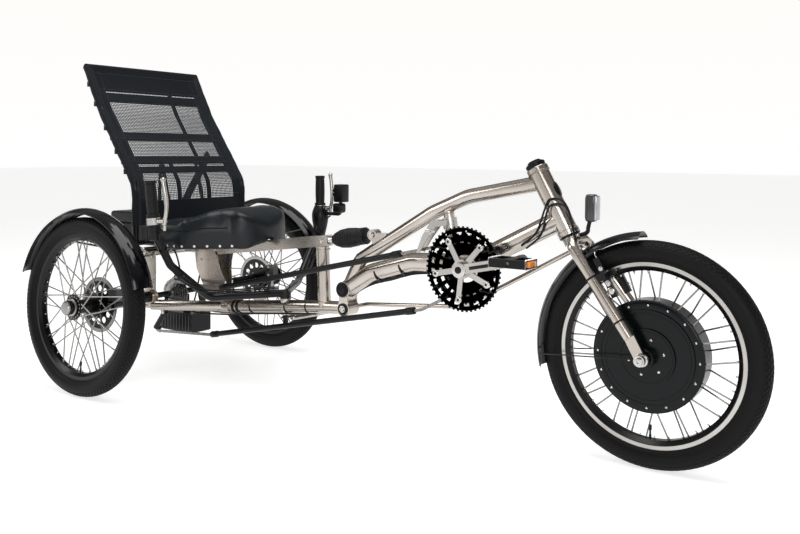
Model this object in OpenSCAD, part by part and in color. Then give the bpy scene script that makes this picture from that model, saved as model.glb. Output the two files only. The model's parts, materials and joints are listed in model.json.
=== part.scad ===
// Recumbent delta trike: two cambered rear wheels, one steered front wheel with a
// hub motor, and a mesh seat on a sprung titanium tube frame.
// +X is forward, +Y is left, +Z is up; the wheels stand on z = 0.

/* [Wheels] */
// Distance from the rear axle line to the front axle
wheelbase = 1516; // [1300:1:1700]
// Distance between the two rear hub centres
track = 763; // [700:1:860]
// Outer radius of every tyre
wheel_r = 254.5; // [245:0.5:300]
// Width of the tyre section
tyre_w = 53; // [44:1:56]
// Lean of each rear wheel, top inwards
camber = 3; // [0:0.5:5]
// Overall width of a rim
rim_w = 32; // [28:1:34]
// Radial height of a rim
rim_h = 23; // [18:1:28]
// Spokes in each wheel
spoke_count = 36; // [24:12:36]
// Radius of a spoke
spoke_r = 1.1; // [0.8:0.1:1.4]
// Radius of the front hub motor
motor_r = 125; // [100:1:135]
// Width of the motor drum at its rim
motor_w = 52; // [44:1:56]
// Radius of a rear hub flange
hub_flange_r = 36; // [30:1:42]
// Radius of a brake rotor
rotor_r = 80; // [70:1:90]

/* [Fenders] */
// Gap between a rear tyre and its fender
rear_fender_gap = 25; // [15:1:35]
// Gap between the front tyre and its fender
front_fender_gap = 18; // [14:1:22]
// Half of a fender's width
fender_half_w = 32; // [29:1:35]
// Sheet thickness of a fender
fender_t = 2.5; // [2:0.5:4]

/* [Steering] */
// Head tube's lean back from vertical
head_angle = 29; // [24:0.5:32]
// Distance from the steering axis to the front axle
fork_offset = 49; // [40:1:60]
// Height of the head tube's lower end above the front axle, along the tube
head_low = 319.5; // [315:0.5:330]
// Length of the head tube
head_len = 175; // [140:1:200]
// Outer radius of the head tube
head_r = 25; // [22:0.5:30]
// Radius of the fork's steerer
steerer_r = 15; // [12:0.5:17]
// Radius of a fork leg
leg_r = 13; // [10:0.5:15]
// Sideways reach of both steering arms
arm_side = 52; // [50:1:54]
// Backward reach of both steering arms
arm_back = 15; // [10:1:18]
// Radius of the steering rod
link_r = 6; // [5:0.5:7]
// Where the handlebar pivots, ahead of the rear axle
bar_pivot_x = 430; // [400:5:460]
// Radius of the handlebar tube
bar_r = 11; // [10:0.5:12]
// Sideways place of each grip
grip_y = 350; // [320:5:380]
// Radius of a grip
grip_r = 16; // [14:0.5:18]

/* [Frame] */
// Radius of the upper arched tube
arch_r = 19; // [16:0.5:21]
// Radius of the lower main tube
main_r = 25; // [22:0.5:28]
// Radius of the rear main tube
rear_r = 18.5; // [16:0.5:20]
// Radius of the two rear arms
arm_r = 16; // [14:0.5:18]
// Radius of the upper cross tube over the axle
cross_r = 15; // [12:0.5:17]
// Bottom bracket's place ahead of the rear axle
crank_x = 1068; // [1050:1:1080]
// Bottom bracket's height above the ground
crank_z = 415; // [405:1:425]
// Half of the distance between the bearing plates of the rear axle
plate_y = 140; // [120:5:160]
// Spacing of the two rack bolts on the upper cross tube
rack_spacing = 160; // [120:5:200]
// Radius of the rear axle
axle_r = 9; // [8:0.5:10]

/* [Seat] */
// Width of the seat over its side tubes
seat_w = 460; // [420:5:480]
// Radius of the seat's side tubes
seat_tube_r = 9; // [8:0.5:11]
// Height of the seat rail
rail_h = 31; // [26:1:36]
// Width of the seat rail
rail_w = 26; // [22:1:30]

/* [Drive] */
// Length of a crank arm between its axle centres
crank_len = 170; // [150:1:175]
// Angle of the right crank arm above the forward direction
crank_turn = 12; // [0:1:30]
// Tip radius of the large chainring
big_ring_r = 106; // [96:1:108]
// Radius at which the chain runs on the small chainring
chain_ring_r = 61; // [56:0.5:64]
// Radius at which the chain runs on the rear sprocket
chain_cog_r = 34; // [28:0.5:40]
// Sideways place of the chain, to the right of the centre
chain_y = 52; // [50:0.5:54]

/* [Hidden] */
$fn = 48;

seat_gap = 0.3;          // between pieces that rest on each other on curved faces
run_fit = 0.05;          // radial play of a shaft in its bearing
bend_rise = 0.15;        // a bend stands this much proud of the straight tube
bend_lap = 1;            // length of straight tube inside the end of a bend
tyre_r = tyre_w / 2;
tyre_ring_r = wheel_r - tyre_r;
rim_out_r = wheel_r - 43.5;
rim_in_r = rim_out_r - rim_h;
rim_wall = 2;
hub_z = tyre_ring_r * cos(camber) + tyre_r;

rear_fender_in = wheel_r + rear_fender_gap;
rear_fender_out = rear_fender_in + fender_t;
front_fender_in = wheel_r + front_fender_gap;
fender_tail = 17;        // a rear fender's tail above the axle's level, degrees
fender_nose = 16;
stay_angles = [43, 137];  // where the stays meet a rear fender, above forward
rear_reach = rear_fender_out * cos(fender_tail);
axle_x = -(wheelbase + wheel_r - rear_reach) / 2;

// A unit vector, and a placement that turns +Z to the direction d
function unit(v) = v / norm(v);
function side_of(d) = unit(abs(d[2]) < 0.9 ? cross([0, 0, 1], d) : cross([0, 1, 0], d));
function axes_at(p, x, y, z) = [[x[0], y[0], z[0], p[0]], [x[1], y[1], z[1], p[1]],
  [x[2], y[2], z[2], p[2]], [0, 0, 0, 1]];
module aim(p, d) {
  z = unit(d);
  x = side_of(z);
  multmatrix(axes_at(p, x, cross(z, x), z)) children();
}
module bar(p, q, r) aim(p, q - p) cylinder(r = r, h = norm(q - p));

// How much of each leg the bend at point i takes away
function turn_at(p, i) = let (u = unit(p[i] - p[i - 1]), v = unit(p[i + 1] - p[i]))
  acos(min(1, max(-1, u * v)));
function cut_at(p, i, bend) = i == 0 || i == len(p) - 1 ? 0 : bend * tan(turn_at(p, i) / 2);
module elbow(p, i, bend, r) {
  u = unit(p[i] - p[i - 1]);
  v = unit(p[i + 1] - p[i]);
  n = unit(v - (v * u) * u);
  start = p[i] - u * cut_at(p, i, bend);
  multmatrix(axes_at(start + n * bend, -n, u, cross(-n, u)))
    rotate_extrude(angle = turn_at(p, i)) translate([bend, 0]) circle(r = r + bend_rise);
}
// A round tube along straight legs joined by bends of one radius
module tube(p, r, bend) {
  for (i = [0 : len(p) - 2]) {
    d = unit(p[i + 1] - p[i]);
    bar(p[i] + d * max(0, cut_at(p, i, bend) - bend_lap),
      p[i + 1] - d * max(0, cut_at(p, i + 1, bend) - bend_lap), r);
  }
  for (i = [1 : 1 : len(p) - 2]) elbow(p, i, bend, r);
}
// A cylinder across the trike, centred at x, z
module across(x, z, r, y0, y1) translate([x, y0, z]) rotate([-90, 0, 0])
  cylinder(r = r, h = y1 - y0);
module both_sides() { children(); mirror([0, 1, 0]) children(); }
// The frames in which pieces are drawn
module on_axle() translate([axle_x, 0, 0]) children();
module front_wheel_place() translate([axle_x + wheelbase, 0, wheel_r]) rotate([90, 0, 0])
  children();
module right_wheel_place() translate([axle_x, -track / 2, hub_z]) rotate([90 - camber, 0, 0])
  children();
module steer_place() translate([axle_x + wheelbase, 0, wheel_r]) rotate([0, -head_angle, 0])
  translate([-fork_offset, 0, 0]) children();

// ---------- wheels, each drawn with its axle along Z ----------
module tyre() color("dimgray") rotate_extrude() difference() {
  translate([tyre_ring_r, 0]) circle(r = tyre_r);
  translate([0, -rim_w / 2]) square([rim_out_r + seat_gap, rim_w]);
}
// Clincher rim: a box section with two flanges that hold the tyre's beads
module rim(c) color(c) rotate_extrude() polygon([
  [rim_in_r, -rim_w / 4], [rim_in_r + 9, -rim_w / 2], [rim_out_r, -rim_w / 2],
  [rim_out_r, -rim_w / 2 + rim_wall], [rim_out_r - 8, -rim_w / 2 + rim_wall],
  [rim_out_r - 11, 0],
  [rim_out_r - 8, rim_w / 2 - rim_wall], [rim_out_r, rim_w / 2 - rim_wall],
  [rim_out_r, rim_w / 2], [rim_in_r + 9, rim_w / 2], [rim_in_r, rim_w / 4]]);
// Spokes from a flange of radius r at height z, each leading or trailing by lean degrees
module spoke_set(r, z, phase, lean, count) {
  for (i = [0 : count - 1]) {
    a = phase + i * 360 / count;
    b = a + (i % 2 == 0 ? lean : -lean);
    bar([r * cos(a), r * sin(a), z],
      [(rim_in_r - spoke_gap) * cos(b), (rim_in_r - spoke_gap) * sin(b), z * 0.12], spoke_r);
  }
}
flange_out_z = 32;
flange_in_z = -30;
flange_t = 4;
hub_body_r = 20;
hub_end_z = 60;
hub_in_z = -64;
rotor_z = -54;
rotor_t = 2;
spoke_gap = seat_gap + spoke_r;
module rear_spokes() color("silver") {
  spoke_set(hub_flange_r + spoke_gap, flange_out_z, 0, 46, spoke_count / 2);
  spoke_set(hub_flange_r + spoke_gap, flange_in_z, 180 / spoke_count * 2, 46, spoke_count / 2);
}
module rear_hub() color("black") difference() {
  union() {
    translate([0, 0, hub_in_z]) cylinder(r = hub_body_r, h = hub_end_z - hub_in_z - 6);
    translate([0, 0, hub_end_z - 6]) cylinder(r = 14, h = 6);
    for (z = [flange_out_z, flange_in_z]) translate([0, 0, z - flange_t / 2])
      cylinder(r = hub_flange_r, h = flange_t);
    translate([0, 0, rotor_z - 6]) cylinder(r = 27, h = 12);
    translate([0, 0, rotor_z - rotor_t / 2]) difference() {
      cylinder(r = rotor_r, h = rotor_t);
      for (a = [0 : 30 : 359]) rotate(a) translate([rotor_r * 0.6, 0, -1])
        cylinder(r = 9, h = rotor_t + 2);
      for (a = [0 : 15 : 359]) rotate(a) translate([rotor_r - 7, 0, -1])
        cylinder(r = 3.2, h = rotor_t + 2);
    }
  }
  translate([0, 0, hub_in_z - 1]) cylinder(r = axle_r + run_fit, h = 100);
}
motor_flange_z = motor_w / 2 - 5;
module motor_spokes() color("dimgray") {
  spoke_set(motor_r + seat_gap, motor_flange_z, 0, 3, spoke_count / 2);
  spoke_set(motor_r + seat_gap, -motor_flange_z, 360 / spoke_count, 3, spoke_count / 2);
}
front_axle_r = 7;
motor_boss_z = 54;
module motor() color("darkslategray") difference() {
  union() {
    translate([0, 0, -motor_w / 2]) cylinder(r = motor_r, h = motor_w);
    translate([0, 0, -motor_w / 2 - 4]) cylinder(r = motor_r * 0.83, h = motor_w + 8);
    translate([0, 0, -motor_w / 2 - 9]) cylinder(r = motor_r * 0.5, h = motor_w + 18);
    translate([0, 0, -motor_boss_z]) cylinder(r = 22, h = 2 * motor_boss_z);
  }
  translate([0, 0, -motor_boss_z - 1])
    cylinder(r = front_axle_r + run_fit, h = 2 * motor_boss_z + 2);
}
module front_tyre() front_wheel_place() tyre();
module front_rim() front_wheel_place() rim("silver");
module front_spokes() front_wheel_place() motor_spokes();
module hub_motor() front_wheel_place() motor();
module right_rear_tyre() right_wheel_place() tyre();
module right_rear_rim() right_wheel_place() rim("black");
module right_rear_spokes() right_wheel_place() rear_spokes();
module right_rear_hub() right_wheel_place() rear_hub();
module left_rear_tyre() mirror([0, 1, 0]) right_rear_tyre();
module left_rear_rim() mirror([0, 1, 0]) right_rear_rim();
module left_rear_spokes() mirror([0, 1, 0]) right_rear_spokes();
module left_rear_hub() mirror([0, 1, 0]) right_rear_hub();

// ---------- fenders ----------
// A crowned strip bent round the wheel; its edges come in towards the axle
function crown_drop(t) = 14 * t * t;
module fender_strip(r, from, to) rotate(from) rotate_extrude(angle = to - from) polygon(concat(
  [for (i = [-6 : 6]) [r + fender_t - crown_drop(i / 6), i / 6 * fender_half_w]],
  [for (i = [6 : -1 : -6]) [r - crown_drop(i / 6), i / 6 * fender_half_w]]));
module rear_fender() {
  right_wheel_place() fender_strip(rear_fender_in, fender_nose, 180 - fender_tail);
  // stays from the bearing plate's corners to the fender's inner edge
  on_axle() for (a = stay_angles)
    bar([cos(a) * 22, -plate_y - plate_t - 3, top_z - cross_r + 4],
      [cos(a) * (rear_fender_in - 15), -track / 2 + fender_half_w + 9,
        hub_z + sin(a) * (rear_fender_in - 15)], 3);
}
module rear_fenders() color("black") both_sides() rear_fender();
module front_fender() color("black") {
  front_wheel_place() fender_strip(front_fender_in, 95, 193);
  // bracket under the fork's crown
  steer_place() cylinder_at(sqrt(pow(front_fender_in + 1.3, 2) - pow(fork_offset, 2)), 5,
    crown_low + 4 - leg_r - 2 * seat_gap);
  // two wire stays from the dropout plates to the tail
  d = [-cos(6), 0, -sin(6)];
  both_sides() on_axle()
    bar([wheelbase, -dropout_y - dropout_t / 2, wheel_r] + d * (dropout_r + 2),
      [wheelbase, -fender_half_w - 1, wheel_r] + d * (front_fender_in - 12), 1.5);
}

// ---------- fork, drawn with the steering axis along Z ----------
head_top = head_low + head_len;
crown_low = head_low - 21;
crown_top = head_low - 4;
dropout_y = 60;
dropout_t = 6;
dropout_r = 15;
leg_foot = [fork_offset - 3, 66, 52];
leg_top = [13, 47, crown_low - 14];
pin_r = 3.5;
eye_r = 11;
eye_z = head_low - 32;
eye_t = 9;
module fork() color("silver") steer_place() {
  difference() {
    union() {
      cylinder_at(crown_low, 22, crown_top);
      cylinder_at(crown_top, steerer_r, head_top + 4);
      both_sides() {
        tube([[0, 0, crown_low + 4], [leg_top[0], 30, crown_low + 1], leg_top, leg_foot],
          leg_r, 14);
        // dropout plate round the axle
        translate([fork_offset, dropout_y, 0]) rotate([-90, 0, 0])
          cylinder(r = dropout_r, h = dropout_t);
        translate([fork_offset - 15, dropout_y, 0]) cube([24, dropout_t, leg_foot[2] + 6]);
      }
      // axle with its nuts
      translate([fork_offset, -dropout_y - 22, 0]) rotate([-90, 0, 0])
        cylinder(r = front_axle_r, h = 2 * dropout_y + 44);
      both_sides() translate([fork_offset, dropout_y + dropout_t, 0]) rotate([-90, 0, 0])
        cylinder(r = 12, h = 10);
      // steering arm and its pin, on the left leg
      translate([-arm_back - 8, leg_top[1] - 2, eye_z + eye_t / 2 + 4])
        cube([arm_back + leg_top[0] + 8, 14, 6]);
      translate([-arm_back, arm_side, eye_z - eye_t / 2 - 2])
        cylinder(r = pin_r, h = eye_t + 8);
    }
  }
}
module cylinder_at(z0, r, z1) translate([0, 0, z0]) cylinder(r = r, h = z1 - z0);
module steerer_caps() color("black") steer_place() {
  difference() {
    cylinder_at(crown_top + seat_gap, head_r + 1, head_low - seat_gap);
    cylinder_at(crown_top, steerer_r + run_fit, head_low);
  }
  difference() {
    union() {
      cylinder_at(head_top + seat_gap, head_r - 1, head_top + 10);
      cylinder_at(head_top + 10, head_r - 7, head_top + 16);
    }
    cylinder_at(head_top, steerer_r + run_fit, head_top + 4 + seat_gap);
  }
}
// Rim brake: two arms on the legs, each with a pad beside the rim
brake_z = 196;
module front_brake() color("black") steer_place() both_sides() {
  difference() {
    translate([brake_x - 30, 47, brake_z - 9]) cube([44, 14, 18]);
    bar(leg_top, leg_foot, leg_r + seat_gap);
  }
  translate([brake_x, 38, brake_z - 52]) cube([14, 10, 96]);
  translate([brake_x - 14, rim_w / 2 + 6, brake_z - 6]) cube([46, 14, 12]);
  bar([brake_x + 7, rim_w / 2 + 14, brake_z], [brake_x + 7, 42, brake_z], 5);
}
brake_x = 44;
lamp_low = [1354, 0, 543];
module headlight() color("black") {
  on_axle() translate(lamp_low - [0, 17, 0]) cube([36, 34, 64]);
  // arm from the front of the crown
  on_axle() difference() {
    tube([steer_point(20, 0, crown_low + 8), steer_point(44, 0, crown_low + 8),
      lamp_low + [14, 0, 3]], 5, 8);
    bar(steer_point(0, 0, crown_low - 5), steer_point(0, 0, crown_top + 5), 22 + seat_gap);
  }
}

// ---------- front frame ----------
// A point on the steering axis, h above the front axle's foot on it
function on_head(h) = [wheelbase - fork_offset * cos(head_angle) - h * sin(head_angle), 0,
  wheel_r - fork_offset * sin(head_angle) + h * cos(head_angle)];
lug = [662, 0, 320];
pivot = [662, 0, 266];
lug_r = 21;
lug_half = 26;
hub_half = 18;
link_t = 5;
arch_path = [on_head(head_low + 140), [1045, 0, 590], [940, 0, 545], [706, 0, 405], lug];
main_path = [lug, [745, 0, 372], [880, 0, 412], [crank_x - 10, 0, crank_z + 6],
  on_head(head_low + 40)];
shell_r = 21;
shell_half = 34;
crank_axle_r = 9;
shock_eye = [752, 0, 476];
module front_frame() color("silver") on_axle() difference() {
  union() {
    tube([on_head(head_low + 138), arch_path[1], arch_path[2], arch_path[3]], arch_r, 160);
    tube([arch_path[2] + (arch_path[3] - arch_path[2]) * 0.7, arch_path[3], arch_path[4]],
      arch_r, 50);
    tube(main_path, main_r, 90);
    aim(on_head(head_low), on_head(head_top) - on_head(head_low)) {
      cylinder(r = head_r, h = head_len);
      cylinder(r = head_r + 2, h = 9);
      translate([0, 0, head_len - 9]) cylinder(r = head_r + 2, h = 9);
    }
    across(crank_x, crank_z, shell_r, -shell_half, shell_half);
    bar([984, 0, 562], [1010, 0, 420], 14);
    across(lug[0], lug[2], lug_r, -lug_half, lug_half);
    // two link plates from the lug down to the swing pivot
    both_sides() {
      across(pivot[0], pivot[2], lug_r, hub_half + 0.5, hub_half + 0.5 + link_t);
      translate([lug[0] - 15, hub_half + 0.5, pivot[2]]) cube([30, link_t, lug[2] - pivot[2]]);
    }
    // bracket for the shock, on top of the arch
    across(shock_eye[0], shock_eye[2], 15, -13, 13);
    translate([shock_eye[0], -13, shock_eye[2] - 24]) cube([44, 26, 30]);
  }
  aim(on_head(head_low), on_head(head_top) - on_head(head_low)) {
    translate([0, 0, -1]) cylinder(r = steerer_r + run_fit, h = head_len + 2);
    translate([0, 0, 18]) cylinder(r = steerer_r + 4, h = head_len - 36);
  }
  across(crank_x, crank_z, crank_axle_r + run_fit, -shell_half - 1, shell_half + 1);
  // slot for the shock's eye and the hole for its bolt
  translate([shock_eye[0] - 20, -8, shock_eye[2] - 20]) cube([38, 16, 45]);
  across(shock_eye[0], shock_eye[2], 4, -14, 14);
  across(pivot[0], pivot[2], pivot_pin_r, -40, 40);
}
pivot_pin_r = 7;
module pivot_caps() color("black") on_axle() {
  both_sides() across(lug[0], lug[2], lug_r - 1, lug_half, lug_half + 3);
  across(pivot[0], pivot[2], pivot_pin_r - run_fit, -hub_half - link_t - 0.5,
    hub_half + link_t + 0.5);
  both_sides() across(pivot[0], pivot[2], lug_r - 5, hub_half + link_t + 0.5,
    hub_half + link_t + 3.5);
}

// ---------- rear frame ----------
plate_t = 5;
low_z = 226;
top_z = 390;
axle_z = hub_z + (hub_in_z - 8) * sin(camber);
bearing_r = axle_r + 3;
mast_foot = [578, 0, 262];
mast_top = [570, 0, 432];
rail_back = [120, 0, 391];
rail_front = [596, 0, 451];
stem_r = 8;
rear_path = [pivot, [487, 0, 252], [328, 0, 235], [180, 0, 219]];
gusset_y = 12;
rail_block_top = top_z + 13;
module rail() {
  d = rail_front - rail_back;
  multmatrix(axes_at(rail_back, unit(d), [0, 1, 0], cross(unit(d), [0, 1, 0])))
    translate([0, -rail_w / 2, -rail_h / 2]) cube([norm(d), rail_w, rail_h]);
}
module rear_frame() color("silver") on_axle() difference() {
  union() {
    across(pivot[0], pivot[2], lug_r, -hub_half, hub_half);
    tube(rear_path, rear_r, 300);
    // collar where the two rear arms leave the main tube
    bar([170, 0, 218], [212, 0, 222], rear_r + 5);
    both_sides() bar([190, 0, 219], [6, -plate_y - 2, low_z], arm_r);
    // bearing plates and the upper cross tube over the axle
    both_sides() {
      translate([-24, plate_y, low_z - 12]) cube([48, plate_t, top_z - low_z + 12]);
      across(0, axle_z, 24, plate_y - 8, plate_y + plate_t + 8);
    }
    across(0, top_z, cross_r, -plate_y - 30, plate_y + 30);
    // two gusset plates between the main tube and the seat rail
    both_sides() translate([0, gusset_y, 0]) rotate([-90, 0, 0]) linear_extrude(plate_t)
      polygon([[130, -228], [190, -228], [196, -300], [150, -392], [60, -392], [70, -330]]);
    rail();
    translate([-4, -rail_w / 2 + 2, rail_block_top - 24]) cube([140, rail_w - 4, 24]);
    bar(mast_foot, mast_top, rear_r);
    // vertical sleeve of the handlebar's pivot
    translate([bar_pivot_x, 0, 222]) cylinder(r = 15, h = 48);
    // bosses for a rear rack
    both_sides() translate([-cross_r - 5, rack_spacing / 2, top_z]) rotate([0, 90, 0])
      cylinder(r = 8, h = 12);
  }
  translate([bar_pivot_x, 0, 200]) cylinder(r = stem_r + run_fit, h = 90);
  across(pivot[0], pivot[2], pivot_pin_r, -40, 40);
  both_sides() across(0, axle_z, bearing_r, plate_y - 20, plate_y + 20);
  both_sides() translate([-cross_r - 6, rack_spacing / 2, top_z]) rotate([0, 90, 0])
    cylinder(r = rack_hole_r, h = 14);
}
rack_hole_r = 2.5;
// The shock lies between the rail's front end and its bracket on the arch
shock_way = unit(shock_eye - rail_front);
shock_len = norm(shock_eye - rail_front);
shock_cup = 16;
shock_neck = 25;
module on_shock() multmatrix(axes_at(rail_front, cross([0, 1, 0], shock_way), [0, 1, 0],
  shock_way)) children();
module suspension_shock() color("dimgray") on_axle() {
  difference() {
    union() {
      across(shock_eye[0], shock_eye[2], 11, -7, 7);
      on_shock() cylinder_at(shock_len - shock_neck + seat_gap, 7, shock_len - 8);
    }
    across(shock_eye[0], shock_eye[2], 4, -14, 14);
  }
  across(shock_eye[0], shock_eye[2], 3.8, -16, 16);
  on_shock() cylinder_at(1.2, 12, shock_cup);
}
module shock_boot() color("black") on_axle() on_shock() rotate_extrude() polygon([
  [0, shock_cup + seat_gap], [13, shock_cup + seat_gap], [20, 28], [26, 46], [28, 71],
  [26, 96], [24, 108], [24, shock_len - shock_neck], [0, shock_len - shock_neck]]);

// ---------- rear axle, brakes and drive ----------
module rear_axle() color("black") {
  on_axle() {
    across(0, axle_z, axle_r, -plate_y - 24, plate_y + 24);
    both_sides() across(0, axle_z, bearing_r - 0.1, plate_y - 7, plate_y + 14);
    both_sides() across(0, axle_z, 17, plate_y + plate_t + 8.3, track / 2 + hub_in_z - 5);
  }
  both_sides() right_wheel_place() {
    translate([0, 0, hub_in_z - 8]) cylinder(r = 18, h = 7);
    translate([0, 0, hub_in_z - 8]) cylinder(r = axle_r, h = 92);
    // brake bracket
    translate([4, 6, hub_in_z - 8]) rotate(25) cube([76, 16, 3.7]);
  }
}
module rear_brakes() color("dimgray") both_sides() right_wheel_place() {
  translate([rotor_r - 26, 18, rotor_z - 14]) cube([30, 34, 11]);
  translate([rotor_r - 26, 18, rotor_z + 3]) cube([30, 34, 9]);
  translate([rotor_r + 2, 18, rotor_z - 14]) cube([9, 34, 26]);
}
cog_step = 5;
chain_h = 8;
chain_w = 6;
module cassette() color("dimgray") on_axle() difference() {
  union() {
    for (i = [-3 : 3]) across(0, axle_z, chain_cog_r - seat_gap - i * cog_step,
      -chain_y - i * cog_step - 1, -chain_y - i * cog_step + 1);
    across(0, axle_z, 15, -chain_y - 20, -chain_y + 20);
  }
  across(0, axle_z, axle_r + seat_gap, -90, 0);
}
pulley = [-66, 134];
pulley_r = 9;
module rear_derailleur() color("black") on_axle() {
  bar([0, -chain_y - 27, axle_z - axle_r - seat_gap - 2], [-14, -chain_y - 20, 192], 6);
  bar([-14, -chain_y - 20, 192], [pulley[0], -chain_y - 13, pulley[1]], 9);
  across(pulley[0], pulley[1], 5, -chain_y - 14, -chain_y - 3);
  across(pulley[0], pulley[1], pulley_r, -chain_y - 3, -chain_y + 3);
}
cage_t = 2.5;
cage_y = chain_y + 17;     // outer face of the cage, inside the crank arm
module front_derailleur() color("black") on_axle() {
  difference() {
    union() {
      bar([989, 0, 534], [994, 0, 506], 19);
      translate([980, -cage_y, 516]) cube([18, cage_y - 10, 14]);
    }
    bar([978.7, 0, 591], [1015.2, 0, 391.5], 14 + seat_gap);
  }
  for (y = [-cage_y, -chain_y + 7]) translate([0, y, 0]) rotate([-90, 0, 0])
    linear_extrude(cage_t) polygon([[978, -532], [1000, -532], [988, -512], [962, -478],
      [942, -446], [934, -450], [950, -490]]);
}
module chain_run(a, b) {
  d = unit(b - a);
  multmatrix(axes_at(a - d * bend_lap, d, [0, 1, 0], cross(d, [0, 1, 0])))
    translate([0, -chain_w / 2, -chain_h / 2])
    cube([norm(b - a) + 2 * bend_lap, chain_w, chain_h]);
}
module chain_wrap(x, z, r, from, to)
  translate([x, -chain_y + chain_w / 2 + bend_rise, z]) rotate([90, 0, 0]) rotate(from)
  rotate_extrude(angle = to - from) translate([r - bend_rise, 0])
  square([chain_h + 2 * bend_rise, chain_w + 2 * bend_rise]);
function chain_at(x, z, r, a) = [x + (r + chain_h / 2) * cos(a), -chain_y,
  z + (r + chain_h / 2) * sin(a)];
ring_in = chain_ring_r + 1;
up_bend = [200, -chain_y, 283];
low_bend = [940, -chain_y, 299];
low_back = [170, -chain_y, 138];
module chain() color("gray") on_axle() {
  chain_wrap(crank_x, crank_z, ring_in, -112, 104);
  chain_run(chain_at(crank_x, crank_z, ring_in, 104), up_bend);
  chain_run(up_bend, chain_at(0, axle_z, chain_cog_r, 88));
  chain_wrap(0, axle_z, chain_cog_r, 88, 236);
  chain_run(chain_at(0, axle_z, chain_cog_r, 236), chain_at(pulley[0], pulley[1],
    pulley_r + seat_gap, 138));
  chain_wrap(pulley[0], pulley[1], pulley_r + seat_gap, 138, 275);
  chain_run(chain_at(pulley[0], pulley[1], pulley_r + seat_gap, 275), low_back);
  chain_run(low_back, low_bend);
  chain_run(low_bend, chain_at(crank_x, crank_z, ring_in, -112));
  // a pin where two straight runs meet
  for (p = [up_bend, low_bend, low_back])
    across(p[0], p[2], chain_h / 2 + 0.4, -chain_y - chain_w / 2 - 0.4,
      -chain_y + chain_w / 2 + 0.4);
}
tube_out = 8;
tube_in = 5.6;
function between(a, b, t) = a + (b - a) * t;
module chain_tube(a, b) difference() {
  bar(a, b, tube_out);
  bar(a - (b - a) * 0.01, b + (b - a) * 0.01, tube_in);
}
module chain_tubes() color("black") on_axle() {
  top = chain_at(crank_x, crank_z, ring_in, 104);
  chain_tube(between(up_bend, top, 0.02), between(up_bend, top, 0.79));
  chain_tube(between(low_back, low_bend, 0.01), between(low_back, low_bend, 0.97));
}
case_w = 240;
module battery_case() color("black") on_axle()
  translate([-230, -case_w / 2, top_z + cross_r + seat_gap]) cube([226, case_w, 100]);
module motor_controller() color("black") on_axle() {
  translate([-115, -45 + 40, 118]) cube([150, 80, 60]);
  for (y = [0, 70]) translate([-12, y, 170]) cube([24, 5, axle_z - axle_r - seat_gap - 170]);
}
cable_r = 4;
module frame_cables() color("black") on_axle() {
  d = unit(main_path[2] - main_path[1]);
  n = [d[2], 0, -d[0]] * (main_r + cable_r + seat_gap);
  bar(main_path[1] + n + d * 20, main_path[2] + n - d * 25, cable_r);
}

// ---------- seat ----------
seat_side = seat_w / 2 - seat_tube_r;
rail_slope = (rail_front[2] - rail_back[2]) / (rail_front[0] - rail_back[0]);
function rail_top(x) = rail_back[2] + (x - rail_back[0]) * rail_slope
  + rail_h / 2 * sqrt(1 + rail_slope * rail_slope);
seat_bar_r = 8;
front_bar_x = 196;
rear_bar_x = 30;
base_side = 186;
base_z = rail_top(front_bar_x) + seat_gap + seat_bar_r * sqrt(1 + rail_slope * rail_slope);
pan_t = 5;
pan_top = base_z + seat_tube_r + 3;
pan_front = 310;
cushion_half = 212;
cushion_nose = 378;
back_line = [[rear_bar_x, base_z - 2], [rear_bar_x, 600], [-118, 806], [-204, 962]];
function back_x(z) = lookup(z, [for (p = back_line) [p[1], p[0]]]);
// cross bars lie behind the side tubes' centres, clear of the net
cross_bars = [for (z = [866, 745, 672]) [back_x(z) - 10, z - 7]];
// Plan of the cushion: square behind, tapering to a round nose
module seat_plan(inset, nose) {
  half = cushion_half - inset;
  polygon(concat([[90, -half], [210, -half]],
    [for (a = [-90 : 15 : 90]) [nose - inset - 60 + 60 * cos(a), sin(a) * half / 2]],
    [[210, half], [90, half]]));
}
module seat_frame() color("black") on_axle() {
  both_sides() {
    tube([for (p = back_line) [p[0], -seat_side, p[1]]], seat_tube_r, 60);
    bar([rear_bar_x, -base_side, base_z], [front_bar_x, -base_side, base_z], seat_tube_r);
  }
  for (p = cross_bars) bar([p[0], -seat_side, p[1]], [p[0], seat_side, p[1]], 7);
  bar([back_line[3][0], -seat_side, back_line[3][1]],
    [back_line[3][0], seat_side, back_line[3][1]], seat_bar_r);
  bar([front_bar_x, -base_side, base_z], [front_bar_x, base_side, base_z], seat_bar_r);
  bar([rear_bar_x, -seat_side, base_z], [rear_bar_x, seat_side, base_z], seat_bar_r);
  // saddle on the rail's rear block
  translate([rear_bar_x - 10, -12, rail_block_top + seat_gap]) cube([20, 24, base_z - rail_block_top]);
  // braces from the back's lowest cross bar to the rear bar
  both_sides() tube([[cross_bars[2][0], -70, cross_bars[2][1]], [12, -70, 505],
    [rear_bar_x, -70, base_z]], 6, 30);
  translate([0, 0, pan_top - pan_t]) linear_extrude(pan_t) intersection() {
    seat_plan(22, cushion_nose);
    translate([70, -300]) square([pan_front - 70, 600]);
  }
}
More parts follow.
